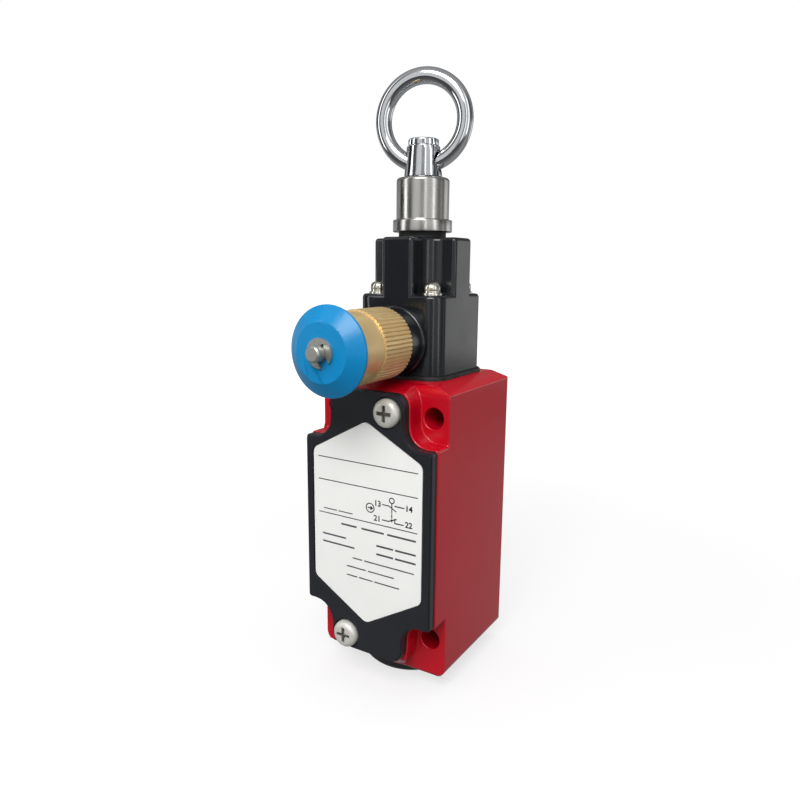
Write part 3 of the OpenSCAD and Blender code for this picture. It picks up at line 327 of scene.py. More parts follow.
class Bench:
    """Modelling steps shared by the sub-assemblies."""

    @staticmethod
    def only(piece: bpy.types.Object) -> None:
        """Makes one object the only selected and the active one.

        Args:
            piece: That object.
        """
        if bpy.context.mode != "OBJECT":
            bpy.ops.object.mode_set(mode="OBJECT")
        bpy.ops.object.select_all(action="DESELECT")
        piece.select_set(True)
        bpy.context.view_layer.objects.active = piece

    @staticmethod
    def pick_edges(piece: bpy.types.Object, wanted: Callable[[bmesh.types.BMEdge], bool]) -> int:
        """Selects the edges of a mesh in edit mode that a test accepts.

        Args:
            piece: Object in edit mode.
            wanted: Test of one edge.

        Returns:
            The number of selected edges.
        """
        bpy.ops.mesh.select_mode(type="EDGE")
        bpy.ops.mesh.select_all(action="DESELECT")
        mesh = bmesh.from_edit_mesh(piece.data)
        found = [e for e in mesh.edges if wanted(e)]
        for edge in found:
            edge.select = True
        mesh.select_flush(True)
        bmesh.update_edit_mesh(piece.data)
        return len(found)

    @staticmethod
    def whole_part() -> BVHTree:
        """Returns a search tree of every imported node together, made once."""
        if not hasattr(Bench, "tree"):
            corners, faces = [], []
            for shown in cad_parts.values():
                first = len(corners)
                corners += [v.co.copy() for v in shown.data.vertices]
                faces += [[first + i for i in f.vertices] for f in shown.data.polygons]
            Bench.tree = BVHTree.FromPolygons(corners, faces)
        return Bench.tree

    @classmethod
    def in_sight(cls, edge: bmesh.types.BMEdge) -> bool:
        """Tells whether light can reach an edge.

        Args:
            edge: Edge of a piece in its place.

        Returns:
            Whether a line runs from it to the outside without meeting the part.
        """
        middle = (edge.verts[0].co + edge.verts[1].co) / 2
        out = sum((f.normal for f in edge.link_faces), Vector()).normalized()
        start = middle + out * mm(0.06)
        ways = [Vector((x, y, z)) for x in (-1, 0, 1) for y in (-1, 0, 1) for z in (-1, 0, 1) if x or y or z]
        return any(cls.whole_part().ray_cast(start, (way + out * 0.7).normalized())[0] is None for way in ways)

    @classmethod
    def copy_of(cls, node: str, name: str, merge_mm: float = 0.002,
                refill_mm: float | None = None) -> bpy.types.Object:
        """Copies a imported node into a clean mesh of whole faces.

        Args:
            node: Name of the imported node.
            name: Name of the new piece.
            merge_mm: Distance under which corners become one.
            refill_mm: Height of a flat top whose faces are made again within its outline.

        Returns:
            The copy, at the origin.
        """
        piece = bpy.data.objects.new(name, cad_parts[node].data.copy())
        bpy.context.scene.collection.objects.link(piece)
        cls.only(piece)
        bpy.ops.object.mode_set(mode="EDIT")
        bpy.ops.mesh.select_all(action="SELECT")
        bpy.ops.mesh.remove_doubles(threshold=mm(merge_mm))
        bpy.ops.mesh.customdata_custom_splitnormals_clear()
        if refill_mm is not None:
            cls.refill(piece, refill_mm)
            bpy.ops.mesh.select_all(action="SELECT")
        bpy.ops.mesh.dissolve_limited(angle_limit=math.radians(0.6))
        bpy.ops.object.mode_set(mode="OBJECT")
        return piece

    @classmethod
    def refill(cls, piece: bpy.types.Object, height_mm: float) -> None:
        """Makes the faces of a flat top again, in edit mode, from the edges round it.

        Args:
            piece: Piece in edit mode.
            height_mm: Height of the top.
        """
        def level(edge: bmesh.types.BMEdge) -> bool:
            """Returns whether an edge lies in the top."""
            return all(abs(v.co.z - mm(height_mm)) < mm(0.005) for v in edge.verts)

        bpy.ops.mesh.select_mode(type="FACE")
        bpy.ops.mesh.select_all(action="DESELECT")
        mesh = bmesh.from_edit_mesh(piece.data)
        for face in mesh.faces:
            face.select = all(level(edge) for edge in face.edges)
        bmesh.update_edit_mesh(piece.data)
        bpy.ops.mesh.delete(type="FACE")
        cls.pick_edges(piece, lambda edge: edge.is_boundary and level(edge))
        bpy.ops.mesh.fill(use_beauty=False)
        bpy.ops.mesh.select_all(action="SELECT")
        bpy.ops.mesh.normals_make_consistent(inside=False)

    @classmethod
    def round_edges(cls, piece: bpy.types.Object, width_mm: float, segments: int = 3, sharper_than: float = 35.0,
                    wanted: Callable[[bmesh.types.BMEdge], bool] | None = None) -> None:
        """Rounds the sharp edges of a piece.

        Args:
            piece: Piece to shape.
            width_mm: Width of the rounding.
            segments: Faces across it.
            sharper_than: Smallest angle between two faces, in degrees, that is rounded.
            wanted: Further test of an edge.
        """
        cls.only(piece)
        bpy.ops.object.mode_set(mode="EDIT")
        least = math.radians(sharper_than)

        def sharp(edge: bmesh.types.BMEdge) -> bool:
            """Returns whether an edge is sharp and wanted."""
            return (len(edge.link_faces) == 2 and edge.calc_face_angle(0.0) > least
                    and (not wanted or wanted(edge)) and cls.in_sight(edge))

        if cls.pick_edges(piece, sharp):
            bpy.ops.mesh.bevel(offset=mm(width_mm), segments=segments, profile=0.5, affect="EDGES",
                               clamp_overlap=False, miter_outer="SHARP")
        bpy.ops.object.mode_set(mode="OBJECT")

    @classmethod
    def smooth(cls, piece: bpy.types.Object, angle: float = 32.0) -> None:
        """Shades a piece smooth except over sharp edges, with flat faces kept flat.

        Args:
            piece: Piece to shade.
            angle: Smallest angle of a sharp edge, in degrees.
        """
        cls.only(piece)
        bpy.ops.object.shade_smooth_by_angle(angle=math.radians(angle))
        weighted = piece.modifiers.new("flat_faces", "WEIGHTED_NORMAL")
        weighted.keep_sharp = True
        weighted.weight = 50
        bpy.ops.object.modifier_apply(modifier=weighted.name)

    @classmethod
    def hand_over(cls, piece: bpy.types.Object, body: Body, finish: Finish, slot: str,
                  replaces: Iterable[str] = ()) -> bpy.types.Object:
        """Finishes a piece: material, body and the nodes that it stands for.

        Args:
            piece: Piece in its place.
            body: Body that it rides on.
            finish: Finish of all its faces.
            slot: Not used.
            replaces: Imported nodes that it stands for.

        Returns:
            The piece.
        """
        piece.data.materials.clear()
        piece.data.materials.append(finish.material())
        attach(piece, body.value)
        for node in replaces:
            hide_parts(node)
        LOG.info("%s: %d faces, rides on %s", piece.name, len(piece.data.polygons), body.value)
        return piece

    @staticmethod
    def paint_node(node: str, finish: Finish) -> None:
        """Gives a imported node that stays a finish.

        Args:
            node: Name of the node.
            finish: Finish of all its faces.
        """
        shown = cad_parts[node]
        for place in shown.material_slots:
            place.material = finish.material()
        if not shown.material_slots:
            shown.data.materials.append(finish.material())
        LOG.info("%s: painted %s", node, finish.name)


@dataclass
class Casting:
    """Die-cast housing with its conduit entry.

    Attributes:
        edge_mm: Rounding of the casting's edges and of the fixing holes' rims.
        merge_mm: Distance under which the casting's corners become one.
        back_mm: Depth of the back edge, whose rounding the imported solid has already.
        rim_mm: Rounding of the conduit insert's edges.
    """

    edge_mm: float = 0.35
    merge_mm: float = 0.3
    back_mm: float = 1.1
    rim_mm: float = 0.3

    def build(self) -> None:
        """Builds and dresses the housing, the conduit bush and its seal."""
        housing = Bench.copy_of("housing", "cast_housing", self.merge_mm)
        Bench.round_edges(housing, self.edge_mm,
                          wanted=lambda edge: all(v.co.y < -mm(self.back_mm) for v in edge.verts))
        Bench.smooth(housing)
        Bench.hand_over(housing, Body.SWITCH, RED_ENAMEL, "red_paint", ["housing"])
        bush = Bench.copy_of("conduit_bush", "conduit_insert")
        Bench.round_edges(bush, self.rim_mm)
        Bench.smooth(bush)
        Bench.hand_over(bush, Body.SWITCH, BLACK_NYLON, "black_moulding", ["conduit_bush"])
        Bench.paint_node("conduit_seal", RUBBER)


@dataclass
class Cover:
    """Front cover with its seal, its label and its two screws.

    Attributes:
        edge_mm: Rounding of the cover's edges.
        merge_mm: Distance under which the cover's corners become one.
        label_edge_mm: Rounding of the label's edges.
        screw_edge_mm: Rounding of the screws' edges.
    """

    edge_mm: float = 0.09
    merge_mm: float = 0.05
    label_edge_mm: float = 0.06
    screw_edge_mm: float = 0.04

    def build(self) -> None:
        """Builds and dresses the cover's pieces."""
        cover = Bench.copy_of("cover", "front_cover", self.merge_mm)
        Bench.round_edges(cover, self.edge_mm, 2)
        Bench.smooth(cover)
        Bench.hand_over(cover, Body.SWITCH, BLACK_COVER, "black_cover", ["cover"])
        seal = Bench.copy_of("cover_gasket", "cover_seal")
        Bench.smooth(seal)
        Bench.hand_over(seal, Body.SWITCH, RUBBER, "black_rubber", ["cover_gasket"])
        label = Bench.copy_of("label_plate", "label_film")
        Bench.round_edges(label, self.label_edge_mm, 2)
        Bench.smooth(label)
        Bench.hand_over(label, Body.SWITCH, LABEL_FILM, "label_white", ["label_plate"])
        screws = Bench.copy_of("cover_screws", "cover_screw_pair")
        Bench.round_edges(screws, self.screw_edge_mm, 2)
        Bench.smooth(screws)
        Bench.hand_over(screws, Body.SWITCH, DULL_NICKEL, "zinc_screws", ["cover_screws"])


@dataclass
class LabelPrint:
    """Print on the label: ruled lines and the diagram of two contacts, one over the other.

    Places are (x, z) on the label, from the middle of the fixing holes.

    Attributes:
        ink_mm: Thickness of the ink.
        line_mm: Width of the ruled lines.
        drawn_mm: Width of the diagram's lines.
        digit_mm: Height of the terminal numbers.
        bold_mm: How far their strokes are thickened to each side.
        rule_ends: Left and right end of the ruled lines.
        rules: Heights of the ruled lines over and under the diagram.
        words: Plain bars in the place of words: left and right end, height on the label and thickness.
        strokes: Diagram lines, each from one place to another.
        circles: Middles and radii of the diagram's circles.
        digits: Terminal numbers and their middles.
    """

    ink_mm: float = 0.012
    line_mm: float = 0.26
    drawn_mm: float = 0.3
    digit_mm: float = 1.5
    bold_mm: float = 0.06
    rule_ends: tuple[float, float] = (-15.1, 15.4)
    rules: tuple[float, ...] = (17.9, 11.65, 2.45)
    words: tuple[tuple[float, float, float, float], ...] = (
        (-13.4, -9.4, 3.7, 0.3), (-8.6, -4.3, 3.7, 0.3), (-7.6, -3.1, 0.3, 0.5), (-1.1, 5.4, 0.3, 0.5),
        (6.9, 14.9, 0.3, 0.5), (-13.8, -6.5, -3.5, 0.45), (3.6, 8.2, -3.4, 0.5), (9.3, 14.9, -3.4, 0.5),
        (-13.8, -3.8, -5.7, 0.45), (3.6, 8.2, -5.7, 0.5), (9.3, 14.9, -5.7, 0.5), (-4.0, -1.3, -8.5, 0.35),
        (-0.3, 14.5, -8.5, 0.35), (-5.9, -0.1, -11.1, 0.35), (0.9, 8.6, -11.1, 0.35), (-5.9, -2.9, -13.6, 0.35),
        (-2.0, 2.0, -13.6, 0.35), (2.9, 10.2, -13.6, 0.35))
    strokes: tuple[tuple[tuple[float, float], tuple[float, float]], ...] = (
        ((5.2, 8.1), (7.0, 8.1)), ((7.0, 8.1), (9.2, 7.0)), ((8.9, 8.3), (11.5, 8.3)),
        ((5.2, 4.0), (7.0, 4.0)), ((7.0, 4.0), (9.3, 4.9)), ((8.9, 3.8), (8.9, 4.9)), ((8.9, 3.8), (11.4, 3.8)),
        ((8.0, 8.9), (8.0, 7.9)), ((8.0, 7.2), (8.0, 6.4)), ((8.0, 5.9), (8.0, 5.1)), ((8.0, 4.6), (8.0, 4.1)),
        ((0.8, 6.5), (2.1, 6.5)), ((2.1, 6.5), (1.6, 6.9)), ((2.1, 6.5), (1.6, 6.1)))
    circles: tuple[tuple[float, float, float], ...] = ((8.0, 9.6, 0.7), (1.4, 6.5, 1.2))
    digits: tuple[tuple[str, float, float], ...] = (("13", 3.7, 8.0), ("14", 13.0, 8.3), ("21", 3.6, 4.0),
                                                    ("22", 13.0, 4.05))

    def build(self) -> None:
        """Lays the print on the label."""
        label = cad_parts["label_plate"].data
        face = min(v.co.y for v in label.vertices) - mm(self.ink_mm / 2)
        left, right = self.rule_ends
        lines = [self.bar((left, z), (right, z), self.line_mm, face) for z in self.rules]
        lines += [self.bar(a, b, self.drawn_mm, face) for a, b in self.strokes]
        lines += [self.circle(x, z, r, face) for x, z, r in self.circles]
        lines += [self.number(text, x, z, face) for text, x, z in self.digits]
        pale = [self.bar((a, z), (b, z), wide, face) for a, b, z, wide in self.words]
        for pieces, name, finish in ((lines, "contact_diagram", LABEL_INK), (pale, "blank_lines", GREY_INK)):
            Bench.hand_over(self.joined(pieces, name), Body.SWITCH, finish, "black_moulding")

    @staticmethod
    def joined(pieces: list[bpy.types.Object], name: str) -> bpy.types.Object:
        """Joins printed lines into one piece with its origin at the part's own.

        Args:
            pieces: The lines.
            name: Name of the new piece.

        Returns:
            The piece.
        """
        Bench.only(pieces[0])
        for piece in pieces:
            piece.select_set(True)
        bpy.ops.object.transform_apply(location=True, rotation=True, scale=True)
        bpy.ops.object.join()
        whole = bpy.context.active_object
        whole.name = name
        return whole

    def bar(self, start: tuple[float, float], end: tuple[float, float], width: float,
            face: float) -> bpy.types.Object:
        """Draws one straight line.

        Args:
            start: Where it begins, in millimetres.
            end: Where it ends, in millimetres.
            width: Its width, in millimetres.
            face: Depth of the ink's middle, in metres.

        Returns:
            The line.
        """
        bpy.ops.object.select_all(action="DESELECT")
        run, rise = end[0] - start[0], end[1] - start[1]
        bpy.ops.mesh.primitive_cube_add(
            size=1, location=(mm((start[0] + end[0]) / 2), face, mm((start[1] + end[1]) / 2)),
            rotation=(0, -math.atan2(rise, run), 0),
            scale=(mm(math.hypot(run, rise) + width), mm(self.ink_mm), mm(width)))
        return bpy.context.active_object

    def circle(self, x: float, z: float, radius: float, face: float) -> bpy.types.Object:
        """Draws one circle.

        Args:
            x: Its middle's place to the right, in millimetres.
            z: Its middle's height, in millimetres.
            radius: Its radius, in millimetres.
            face: Depth of the ink's middle, in metres.

        Returns:
            The circle.
        """
        bpy.ops.object.select_all(action="DESELECT")
        bpy.ops.mesh.primitive_torus_add(
            location=(mm(x), face, mm(z)), rotation=(math.pi / 2, 0, 0), major_radius=mm(radius),
            minor_radius=mm(self.drawn_mm / 2), major_segments=40, minor_segments=6)
        ring = bpy.context.active_object
        ring.scale = (1, 1, self.ink_mm / self.drawn_mm)
        return ring

    def number(self, text: str, x: float, z: float, face: float) -> bpy.types.Object:
        """Draws one terminal number as a thin solid.

        Args:
            text: Its digits.
            x: Its middle's place to the right, in millimetres.
            z: Its middle's height, in millimetres.
            face: Depth of the ink's middle, in metres.

        Returns:
            The number.
        """
        bpy.ops.object.select_all(action="DESELECT")
        bpy.ops.object.text_add(location=(mm(x), face, mm(z)), rotation=(math.pi / 2, 0, 0))
        sign = bpy.context.active_object
        sign.data.body = text
        sign.data.align_x, sign.data.align_y = "CENTER", "CENTER"
        sign.data.size = mm(self.digit_mm / 0.7)
        sign.data.extrude = mm(self.ink_mm / 2)
        sign.data.offset = mm(self.bold_mm)
        sign.data.resolution_u = 3
        bpy.ops.object.convert(target="MESH")
        return bpy.context.active_object


@dataclass
class Head:
    """Cross-shaped head with its seal, screws, washers and neck seal.

    Attributes:
        step_mm: Height at which the tower stands on the foot.
        fillet_mm: Fillet between them.
        top_mm: Height of the tower's flat top.
        level_mm: How far a corner may lie from the foot's height.
        merge_mm: Distance under which the head's corners become one.
        seal_edge_mm: Rounding of the flat seal's edges.
        screw_edge_mm: Rounding of the screws' and washers' edges.
        neck_edge_mm: Rounding of the neck seal's edges.
    """

    step_mm: float = 60.15
    top_mm: float = 74.9
    level_mm: float = 0.03
    merge_mm: float = 0.02
    seal_edge_mm: float = 0.35
    screw_edge_mm: float = 0.04
    neck_edge_mm: float = 0.2
    fillet_mm: float = 0.5

    def build(self) -> None:
        """Builds and dresses the head's pieces."""
        head = Bench.copy_of("head_housing", "cast_head", self.merge_mm, self.top_mm)
        Bench.round_edges(head, self.fillet_mm, wanted=lambda edge: (
            edge.calc_face_angle_signed(0.0) < 0
            and all(abs(v.co.z - mm(self.step_mm)) < mm(self.level_mm) for v in edge.verts)))
        Bench.smooth(head)
        Bench.hand_over(head, Body.SWITCH, BLACK_ENAMEL, "black_head", ["head_housing"])
        seal = Bench.copy_of("head_gasket", "head_seal")
        Bench.round_edges(seal, self.seal_edge_mm)
        Bench.smooth(seal)
        Bench.hand_over(seal, Body.SWITCH, RUBBER, "black_rubber", ["head_gasket"])
        for node, name in (("head_screws", "head_screw_set"), ("head_washers", "plain_washer_set"),
                           ("head_lock_washers", "spring_washer_set")):
            piece = Bench.copy_of(node, name)
            Bench.round_edges(piece, self.screw_edge_mm, 2)
            Bench.smooth(piece)
            Bench.hand_over(piece, Body.SWITCH, NICKEL_PLATE, "zinc_screws", [node])
        neck = Bench.copy_of("neck_seal", "neck_ring")
        Bench.round_edges(neck, self.neck_edge_mm)
        Bench.smooth(neck)
        Bench.hand_over(neck, Body.SWITCH, RUBBER, "black_rubber", ["neck_seal"])


@dataclass
class Puller:
    """Guide sleeve, rod with its eye, and the ring.

    Attributes:
        sleeve_edge_mm: Rounding of the sleeve's edges.
        rod_edge_mm: Rounding of the rod's edges.
        ring_angle: Smallest angle of a sharp edge on the ring, in degrees.
    """

    sleeve_edge_mm: float = 0.25
    rod_edge_mm: float = 0.08
    ring_angle: float = 60.0

    def build(self) -> None:
        """Builds and dresses the pieces of the pull."""
        sleeve = Bench.copy_of("guide_sleeve", "guide_tube")
        Bench.round_edges(sleeve, self.sleeve_edge_mm)
        Bench.smooth(sleeve)
        Bench.hand_over(sleeve, Body.SWITCH, TURNED_STEEL, "stainless_steel", ["guide_sleeve"])
        rod = Bench.copy_of("pull_rod", "rod_and_eye")
        Bench.round_edges(rod, self.rod_edge_mm)
        Bench.smooth(rod)
        Bench.hand_over(rod, Body.ROD, CHROME, "chrome_plate", ["pull_rod"])
        ring = Bench.copy_of("pull_ring", "round_ring")
        Bench.smooth(ring, self.ring_angle)
        Bench.hand_over(ring, Body.RING, CHROME, "chrome_plate", ["pull_ring"])


@dataclass
class ResetKnob:
    """Knurled guide, blue knob, shaft and its retaining clip.

    Attributes:
        knurl_angle: Smallest angle of a sharp edge on the guide, in degrees.
        knob_edge_mm: Rounding of the knob's edges.
        shaft_edge_mm: Rounding of the shaft's edges.
        clip_edge_mm: Rounding of the clip's edges.
    """

    knurl_angle: float = 25.0
    knob_edge_mm: float = 0.15
    shaft_edge_mm: float = 0.08
    clip_edge_mm: float = 0.04

    def build(self) -> None:
        """Builds and dresses the reset's pieces."""
        guide = Bench.copy_of("reset_guide", "knurled_guide")
        Bench.smooth(guide, self.knurl_angle)
        Bench.hand_over(guide, Body.SWITCH, TURNED_BRASS, "brass", ["reset_guide"])
        knob = Bench.copy_of("reset_knob", "blue_knob")
        Bench.round_edges(knob, self.knob_edge_mm)
        Bench.smooth(knob)
        Bench.hand_over(knob, Body.RESET, BLUE_PLASTIC, "blue_plastic", ["reset_knob"])
        shaft = Bench.copy_of("reset_shaft", "knob_shaft")
        Bench.round_edges(shaft, self.shaft_edge_mm)
        Bench.smooth(shaft)
        Bench.hand_over(shaft, Body.RESET, TURNED_SHAFT, "stainless_steel", ["reset_shaft"])
        clip = Bench.copy_of("retaining_clip", "retaining_ring")
        Bench.round_edges(clip, self.clip_edge_mm, 2)
        Bench.smooth(clip)
        Bench.hand_over(clip, Body.RESET, TURNED_SHAFT, "stainless_steel", ["retaining_clip"])


@dataclass
class Mechanism:
    """Inner pieces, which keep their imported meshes."""

    finishes: dict[str, Finish] = field(default_factory=lambda: {
        "rod_guide": SINTERED_BRONZE, "rod_wiper": RUBBER, "latch_collar": GROUND_STEEL, "lock_nut": ZINC_PLATE,
        "main_spring": SPRING_WIRE, "reset_spring": SPRING_WIRE, "plunger_spring": SPRING_WIRE,
        "bridge_springs": SPRING_WIRE, "contact_base": GREY_PHENOLIC, "contact_front": GREY_PHENOLIC,
        "block_screws": ZINC_PLATE, "contact_plunger": PALE_ACETAL, "bridge_nc": COPPER_ALLOY,
        "bridge_no": COPPER_ALLOY, "fixed_contacts_nc": COPPER_ALLOY, "fixed_contacts_no": COPPER_ALLOY,
        "terminal_screws": ZINC_PLATE, "terminal_saddles": ZINC_PLATE, "earth_screw": TURNED_BRASS,
        "earth_saddle": TURNED_BRASS})

    def build(self) -> None:
        """Paints every inner piece."""
        for node, finish in self.finishes.items():
            Bench.paint_node(node, finish)


@dataclass
class Studio:
    """White table and room, soft lamps and the camera.

    Attributes:
        room: The room as gloss shows it near the horizon: angle from the front towards the right, in
            degrees, and brightness, with straight slopes between.
        table_shine: The table as gloss shows it: distance behind the part, in metres, and brightness.
        plain_room: Brightness of the room that lights matt surfaces.
        eye_mm: Place of the camera.
        turn_deg: Turn of the camera about the upright axis.
        tilt_deg: Tilt of the camera, upwards above 0.
        roll_deg: Roll of the camera about its own view.
        lens_mm: Focal length on a sensor 36 mm wide.
    """

    room: tuple[tuple[float, float], ...] = (
        (-180, 0.45), (-100, 0.45), (-88, 0.6), (-83, 0.03), (-58, 0.03), (-55, 3.0), (-45, 3.0), (-41, 0.12),
        (-20, 0.12), (-13, 0.9), (14, 0.9), (22, 0.4), (38, 0.4), (40, 3.0), (43, 3.0), (45, 0.75), (75, 0.8),
        (76, 3.6), (80, 3.6), (82, 0.9), (90, 0.8), (95, 0.25), (110, 0.25), (115, 0.7), (121, 0.7),
        (125, 0.12), (133, 0.12), (139, 1.2), (158, 1.2), (166, 0.45), (180, 0.45))
    table_shine: tuple[tuple[float, float], ...] = (
        (-0.4, 0.06), (-0.12, 0.14), (0.02, 0.36), (0.15, 0.38), (0.45, 0.15))
    plain_room: float = 0.56
    eye_mm: tuple[float, float, float] = (97.21, -185.40, 67.58)
    turn_deg: float = 31.77
    tilt_deg: float = -10.94
    roll_deg: float = 0.47
    lens_mm: float = 31.29

    def build(self) -> None:
        """Builds the table, the light and the camera."""
        self.table()
        self.surround()
        self.lamps()
        self.camera()

    def table(self) -> None:
        """Lays a pale table just under the part, which fades to the white room round it."""
        low = CAD_BOX[0]
        bpy.ops.object.select_all(action="DESELECT")
        bpy.ops.mesh.primitive_plane_add(size=8, location=(0, 0, low[2] - mm(0.2)))
        table = bpy.context.active_object
        table.name = "table"
        made = bpy.data.materials.new("white_paper")
        made.use_nodes = True
        tree = made.node_tree
        tree.nodes.clear()
        where = add_node(tree, "TexCoord").outputs["Object"]
        axes = add_node(tree, "SeparateXYZ", {0: where})
        away = add_node(tree, "VectorMath", {0: where}, operation="LENGTH").outputs["Value"]
        white = add_node(tree, "MapRange", {"Value": away, "From Min": 0.08, "From Max": 0.45, "To Min": 0.70,
                                            "To Max": 1.0}, interpolation_type="SMOOTHSTEP")
        near = self.profile(tree, axes.outputs["Y"], self.table_shine)
        wall = self.walls(tree, axes)
        far = add_node(tree, "MapRange", {"Value": away, "From Min": 0.5, "From Max": 0.75},
                       interpolation_type="SMOOTHSTEP")
        mirrored = add_node(tree, "Mix", {0: far.outputs[0], 2: near, 3: wall})
        path = add_node(tree, "LightPath")
        seen = add_node(tree, "Emission", {"Color": (1, 1, 1, 1), "Strength": white.outputs[0]})
        paper = add_node(tree, "BsdfDiffuse", {"Color": (0.25, 0.25, 0.25, 1)})
        plain = add_node(tree, "AddShader", {0: paper.outputs[0], 1: seen.outputs[0]})
        glossy = add_node(tree, "Emission", {"Color": (1, 1, 1, 1), "Strength": mirrored.outputs[0]})
        direct = add_node(tree, "MixShader", {0: path.outputs["Is Camera Ray"], 1: paper.outputs[0],
                                              2: plain.outputs[0]})
        shown = add_node(tree, "MixShader", {0: path.outputs["Is Glossy Ray"], 1: direct.outputs[0],
                                             2: glossy.outputs[0]})
        add_node(tree, "OutputMaterial", {"Surface": shown.outputs[0]})
        table.data.materials.append(made)

    def walls(self, tree: bpy.types.NodeTree, axes: bpy.types.Node) -> bpy.types.NodeSocket:
        """Returns the brightness of the room's walls.

        Args:
            tree: Node tree of the material or world.
            axes: Node whose outputs are X, Y and Z of the direction.

        Returns:
            The brightness by the angle from the front.
        """
        front = add_node(tree, "Math", {0: axes.outputs["Y"], 1: -1.0}, operation="MULTIPLY")
        turn = add_node(tree, "Math", {0: axes.outputs["X"], 1: front.outputs[0]}, operation="ARCTAN2")
        return self.profile(tree, turn.outputs[0], [(math.radians(a), v) for a, v in self.room])

    @staticmethod
    def profile(tree: bpy.types.NodeTree, value: bpy.types.NodeSocket,
                points: Iterable[tuple[float, float]]) -> bpy.types.NodeSocket:
        """Turns a value into another one along straight slopes between points.

        Args:
            tree: Node tree of the material or world.
            value: Value along the points.
            points: Value and what it becomes, in rising order.

        Returns:
            The new value.
        """
        points = list(points)
        first, last, top = points[0][0], points[-1][0], max(v for _, v in points)
        share = add_node(tree, "MapRange", {"Value": value, "From Min": first, "From Max": last})
        ramp = add_node(tree, "ValToRGB", {0: share.outputs[0]})
        stops = ramp.color_ramp.elements
        stops.remove(stops[1])
        for number, (at, strength) in enumerate(points):
            stop = stops[0] if number == 0 else stops.new((at - first) / (last - first))
            stop.position = (at - first) / (last - first)
            stop.color = (strength / top, strength / top, strength / top, 1.0)
        return add_node(tree, "Math", {0: ramp.outputs[0], 1: top}, operation="MULTIPLY").outputs[0]

    def surround(self) -> None:
        """Surrounds the part with a white room, whose walls gloss shows as light and dark upright bands."""
        world = bpy.data.worlds.new("white_room")
        bpy.context.scene.world = world
        world.use_nodes = True
        tree = world.node_tree
        tree.nodes.clear()
        path = add_node(tree, "LightPath")
        seen = add_node(tree, "Math", {0: path.outputs["Is Camera Ray"], 1: path.outputs["Is Transmission Ray"]},
                        operation="MAXIMUM")
        axes = add_node(tree, "SeparateXYZ", {0: add_node(tree, "TexCoord").outputs["Generated"]})
        wall = self.walls(tree, axes)
        behind = add_node(tree, "MapRange", {"Value": axes.outputs["Y"], "From Min": -0.1, "From Max": 0.3},
                          interpolation_type="SMOOTHSTEP")
        raised = add_node(tree, "MapRange", {"Value": axes.outputs["Z"], "From Min": 0.06, "From Max": 0.2,
                                             "To Max": 0.65}, interpolation_type="SMOOTHSTEP")
        dimmed = add_node(tree, "Math", {0: behind.outputs[0], 1: raised.outputs[0]}, operation="MULTIPLY")
        kept = add_node(tree, "Math", {0: 1.0, 1: dimmed.outputs[0]}, operation="SUBTRACT")
        wall = add_node(tree, "Math", {0: wall, 1: kept.outputs[0]}, operation="MULTIPLY").outputs[0]
        ceiling = add_node(tree, "MapRange", {"Value": axes.outputs["Y"], "From Min": -0.5, "From Max": 0.5,
                                              "To Min": 0.55, "To Max": 0.35})
        height = add_node(tree, "MapRange", {"Value": axes.outputs["Z"], "From Min": 0.5, "From Max": 0.85},
                          interpolation_type="SMOOTHSTEP")
        total = add_node(tree, "Mix", {0: height.outputs[0], 2: wall, 3: ceiling.outputs[0]})
        glossy = add_node(tree, "Background", {"Color": (1, 1, 1, 1), "Strength": total.outputs[0]})
        plain = add_node(tree, "Background", {"Color": (1, 1, 1, 1), "Strength": self.plain_room})
        white = add_node(tree, "Background", {"Color": (1, 1, 1, 1), "Strength": 1.0})
        lit = add_node(tree, "MixShader", {0: path.outputs["Is Glossy Ray"], 1: plain.outputs[0], 2: glossy.outputs[0]})
        all_rays = add_node(tree, "MixShader", {0: seen.outputs[0], 1: lit.outputs[0], 2: white.outputs[0]})
        add_node(tree, "OutputWorld", {"Surface": all_rays.outputs[0]})

    def lamps(self) -> None:
        """Hangs the softboxes."""
        self.softbox("key", (0.15, -0.5, 0.5), (0, -0.02, 0.03), 0.4, 0.34, 4.0)
        self.softbox("left", (-0.45, -0.6, 0.4), (0, -0.02, 0.02), 0.5, 0.5, 1.2).visible_glossy = False
        self.softbox("top", (0.05, 0.15, 0.9), (0, -0.02, 0.0), 0.7, 0.7, 1.5).visible_glossy = False

    def softbox(self, name: str, at: tuple[float, float, float], towards: tuple[float, float, float],
                width: float, height: float, power: float) -> bpy.types.Object:
        """Hangs one softbox.

        Args:
            name: Name of the lamp.
            at: Its place, in metres.
            towards: Point that it faces.
            width: Its width, in metres.
            height: Its height, in metres.
            power: Its power, in watts.

        Returns:
            The lamp.
        """
        light = bpy.data.lights.new(name, "AREA")
        light.shape = "RECTANGLE"
        light.size, light.size_y, light.energy = width, height, power
        lamp = bpy.data.objects.new(name, light)
        bpy.context.scene.collection.objects.link(lamp)
        way = Vector(towards) - Vector(at)
        lamp.matrix_world = Matrix.Translation(at) @ way.to_track_quat("-Z", "Y").to_matrix().to_4x4()
        return lamp

    def camera(self) -> None:
        """Sets the camera up."""
        data = bpy.data.cameras.new("camera")
        data.lens, data.sensor_width, data.clip_start = self.lens_mm, 36.0, 0.01
        camera = bpy.data.objects.new("camera", data)
        bpy.context.scene.collection.objects.link(camera)
        camera.matrix_world = (Matrix.Translation([mm(v) for v in self.eye_mm])
                               @ Matrix.Rotation(math.radians(self.turn_deg), 4, "Z")
                               @ Matrix.Rotation(math.radians(90 + self.tilt_deg), 4, "X")
                               @ Matrix.Rotation(math.radians(self.roll_deg), 4, "Z"))
        bpy.context.scene.camera = camera
        bpy.context.scene.view_settings.view_transform = "Standard"


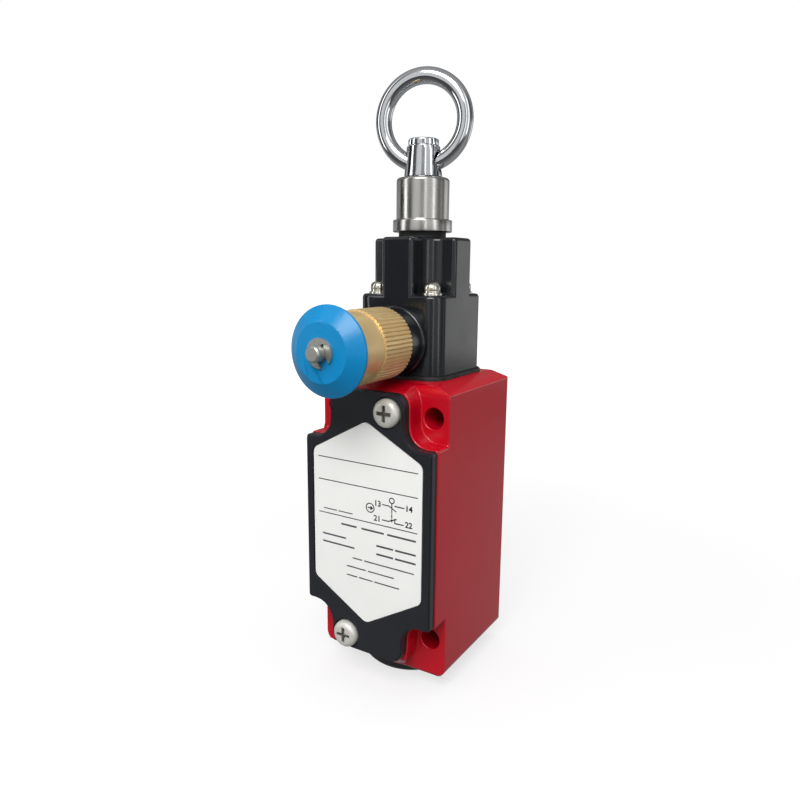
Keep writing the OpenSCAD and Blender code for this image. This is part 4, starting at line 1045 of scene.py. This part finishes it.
def main() -> None:
    """Builds the dressed part and its studio."""
    logging.basicConfig(level=logging.INFO, format="%(message)s")
    for assembly in (Casting(), Cover(), LabelPrint(), Head(), Puller(), ResetKnob(), Mechanism(), Studio()):
        assembly.build()
        LOG.info("built %s", type(assembly).__name__)


if __name__ == "__main__":
    main()
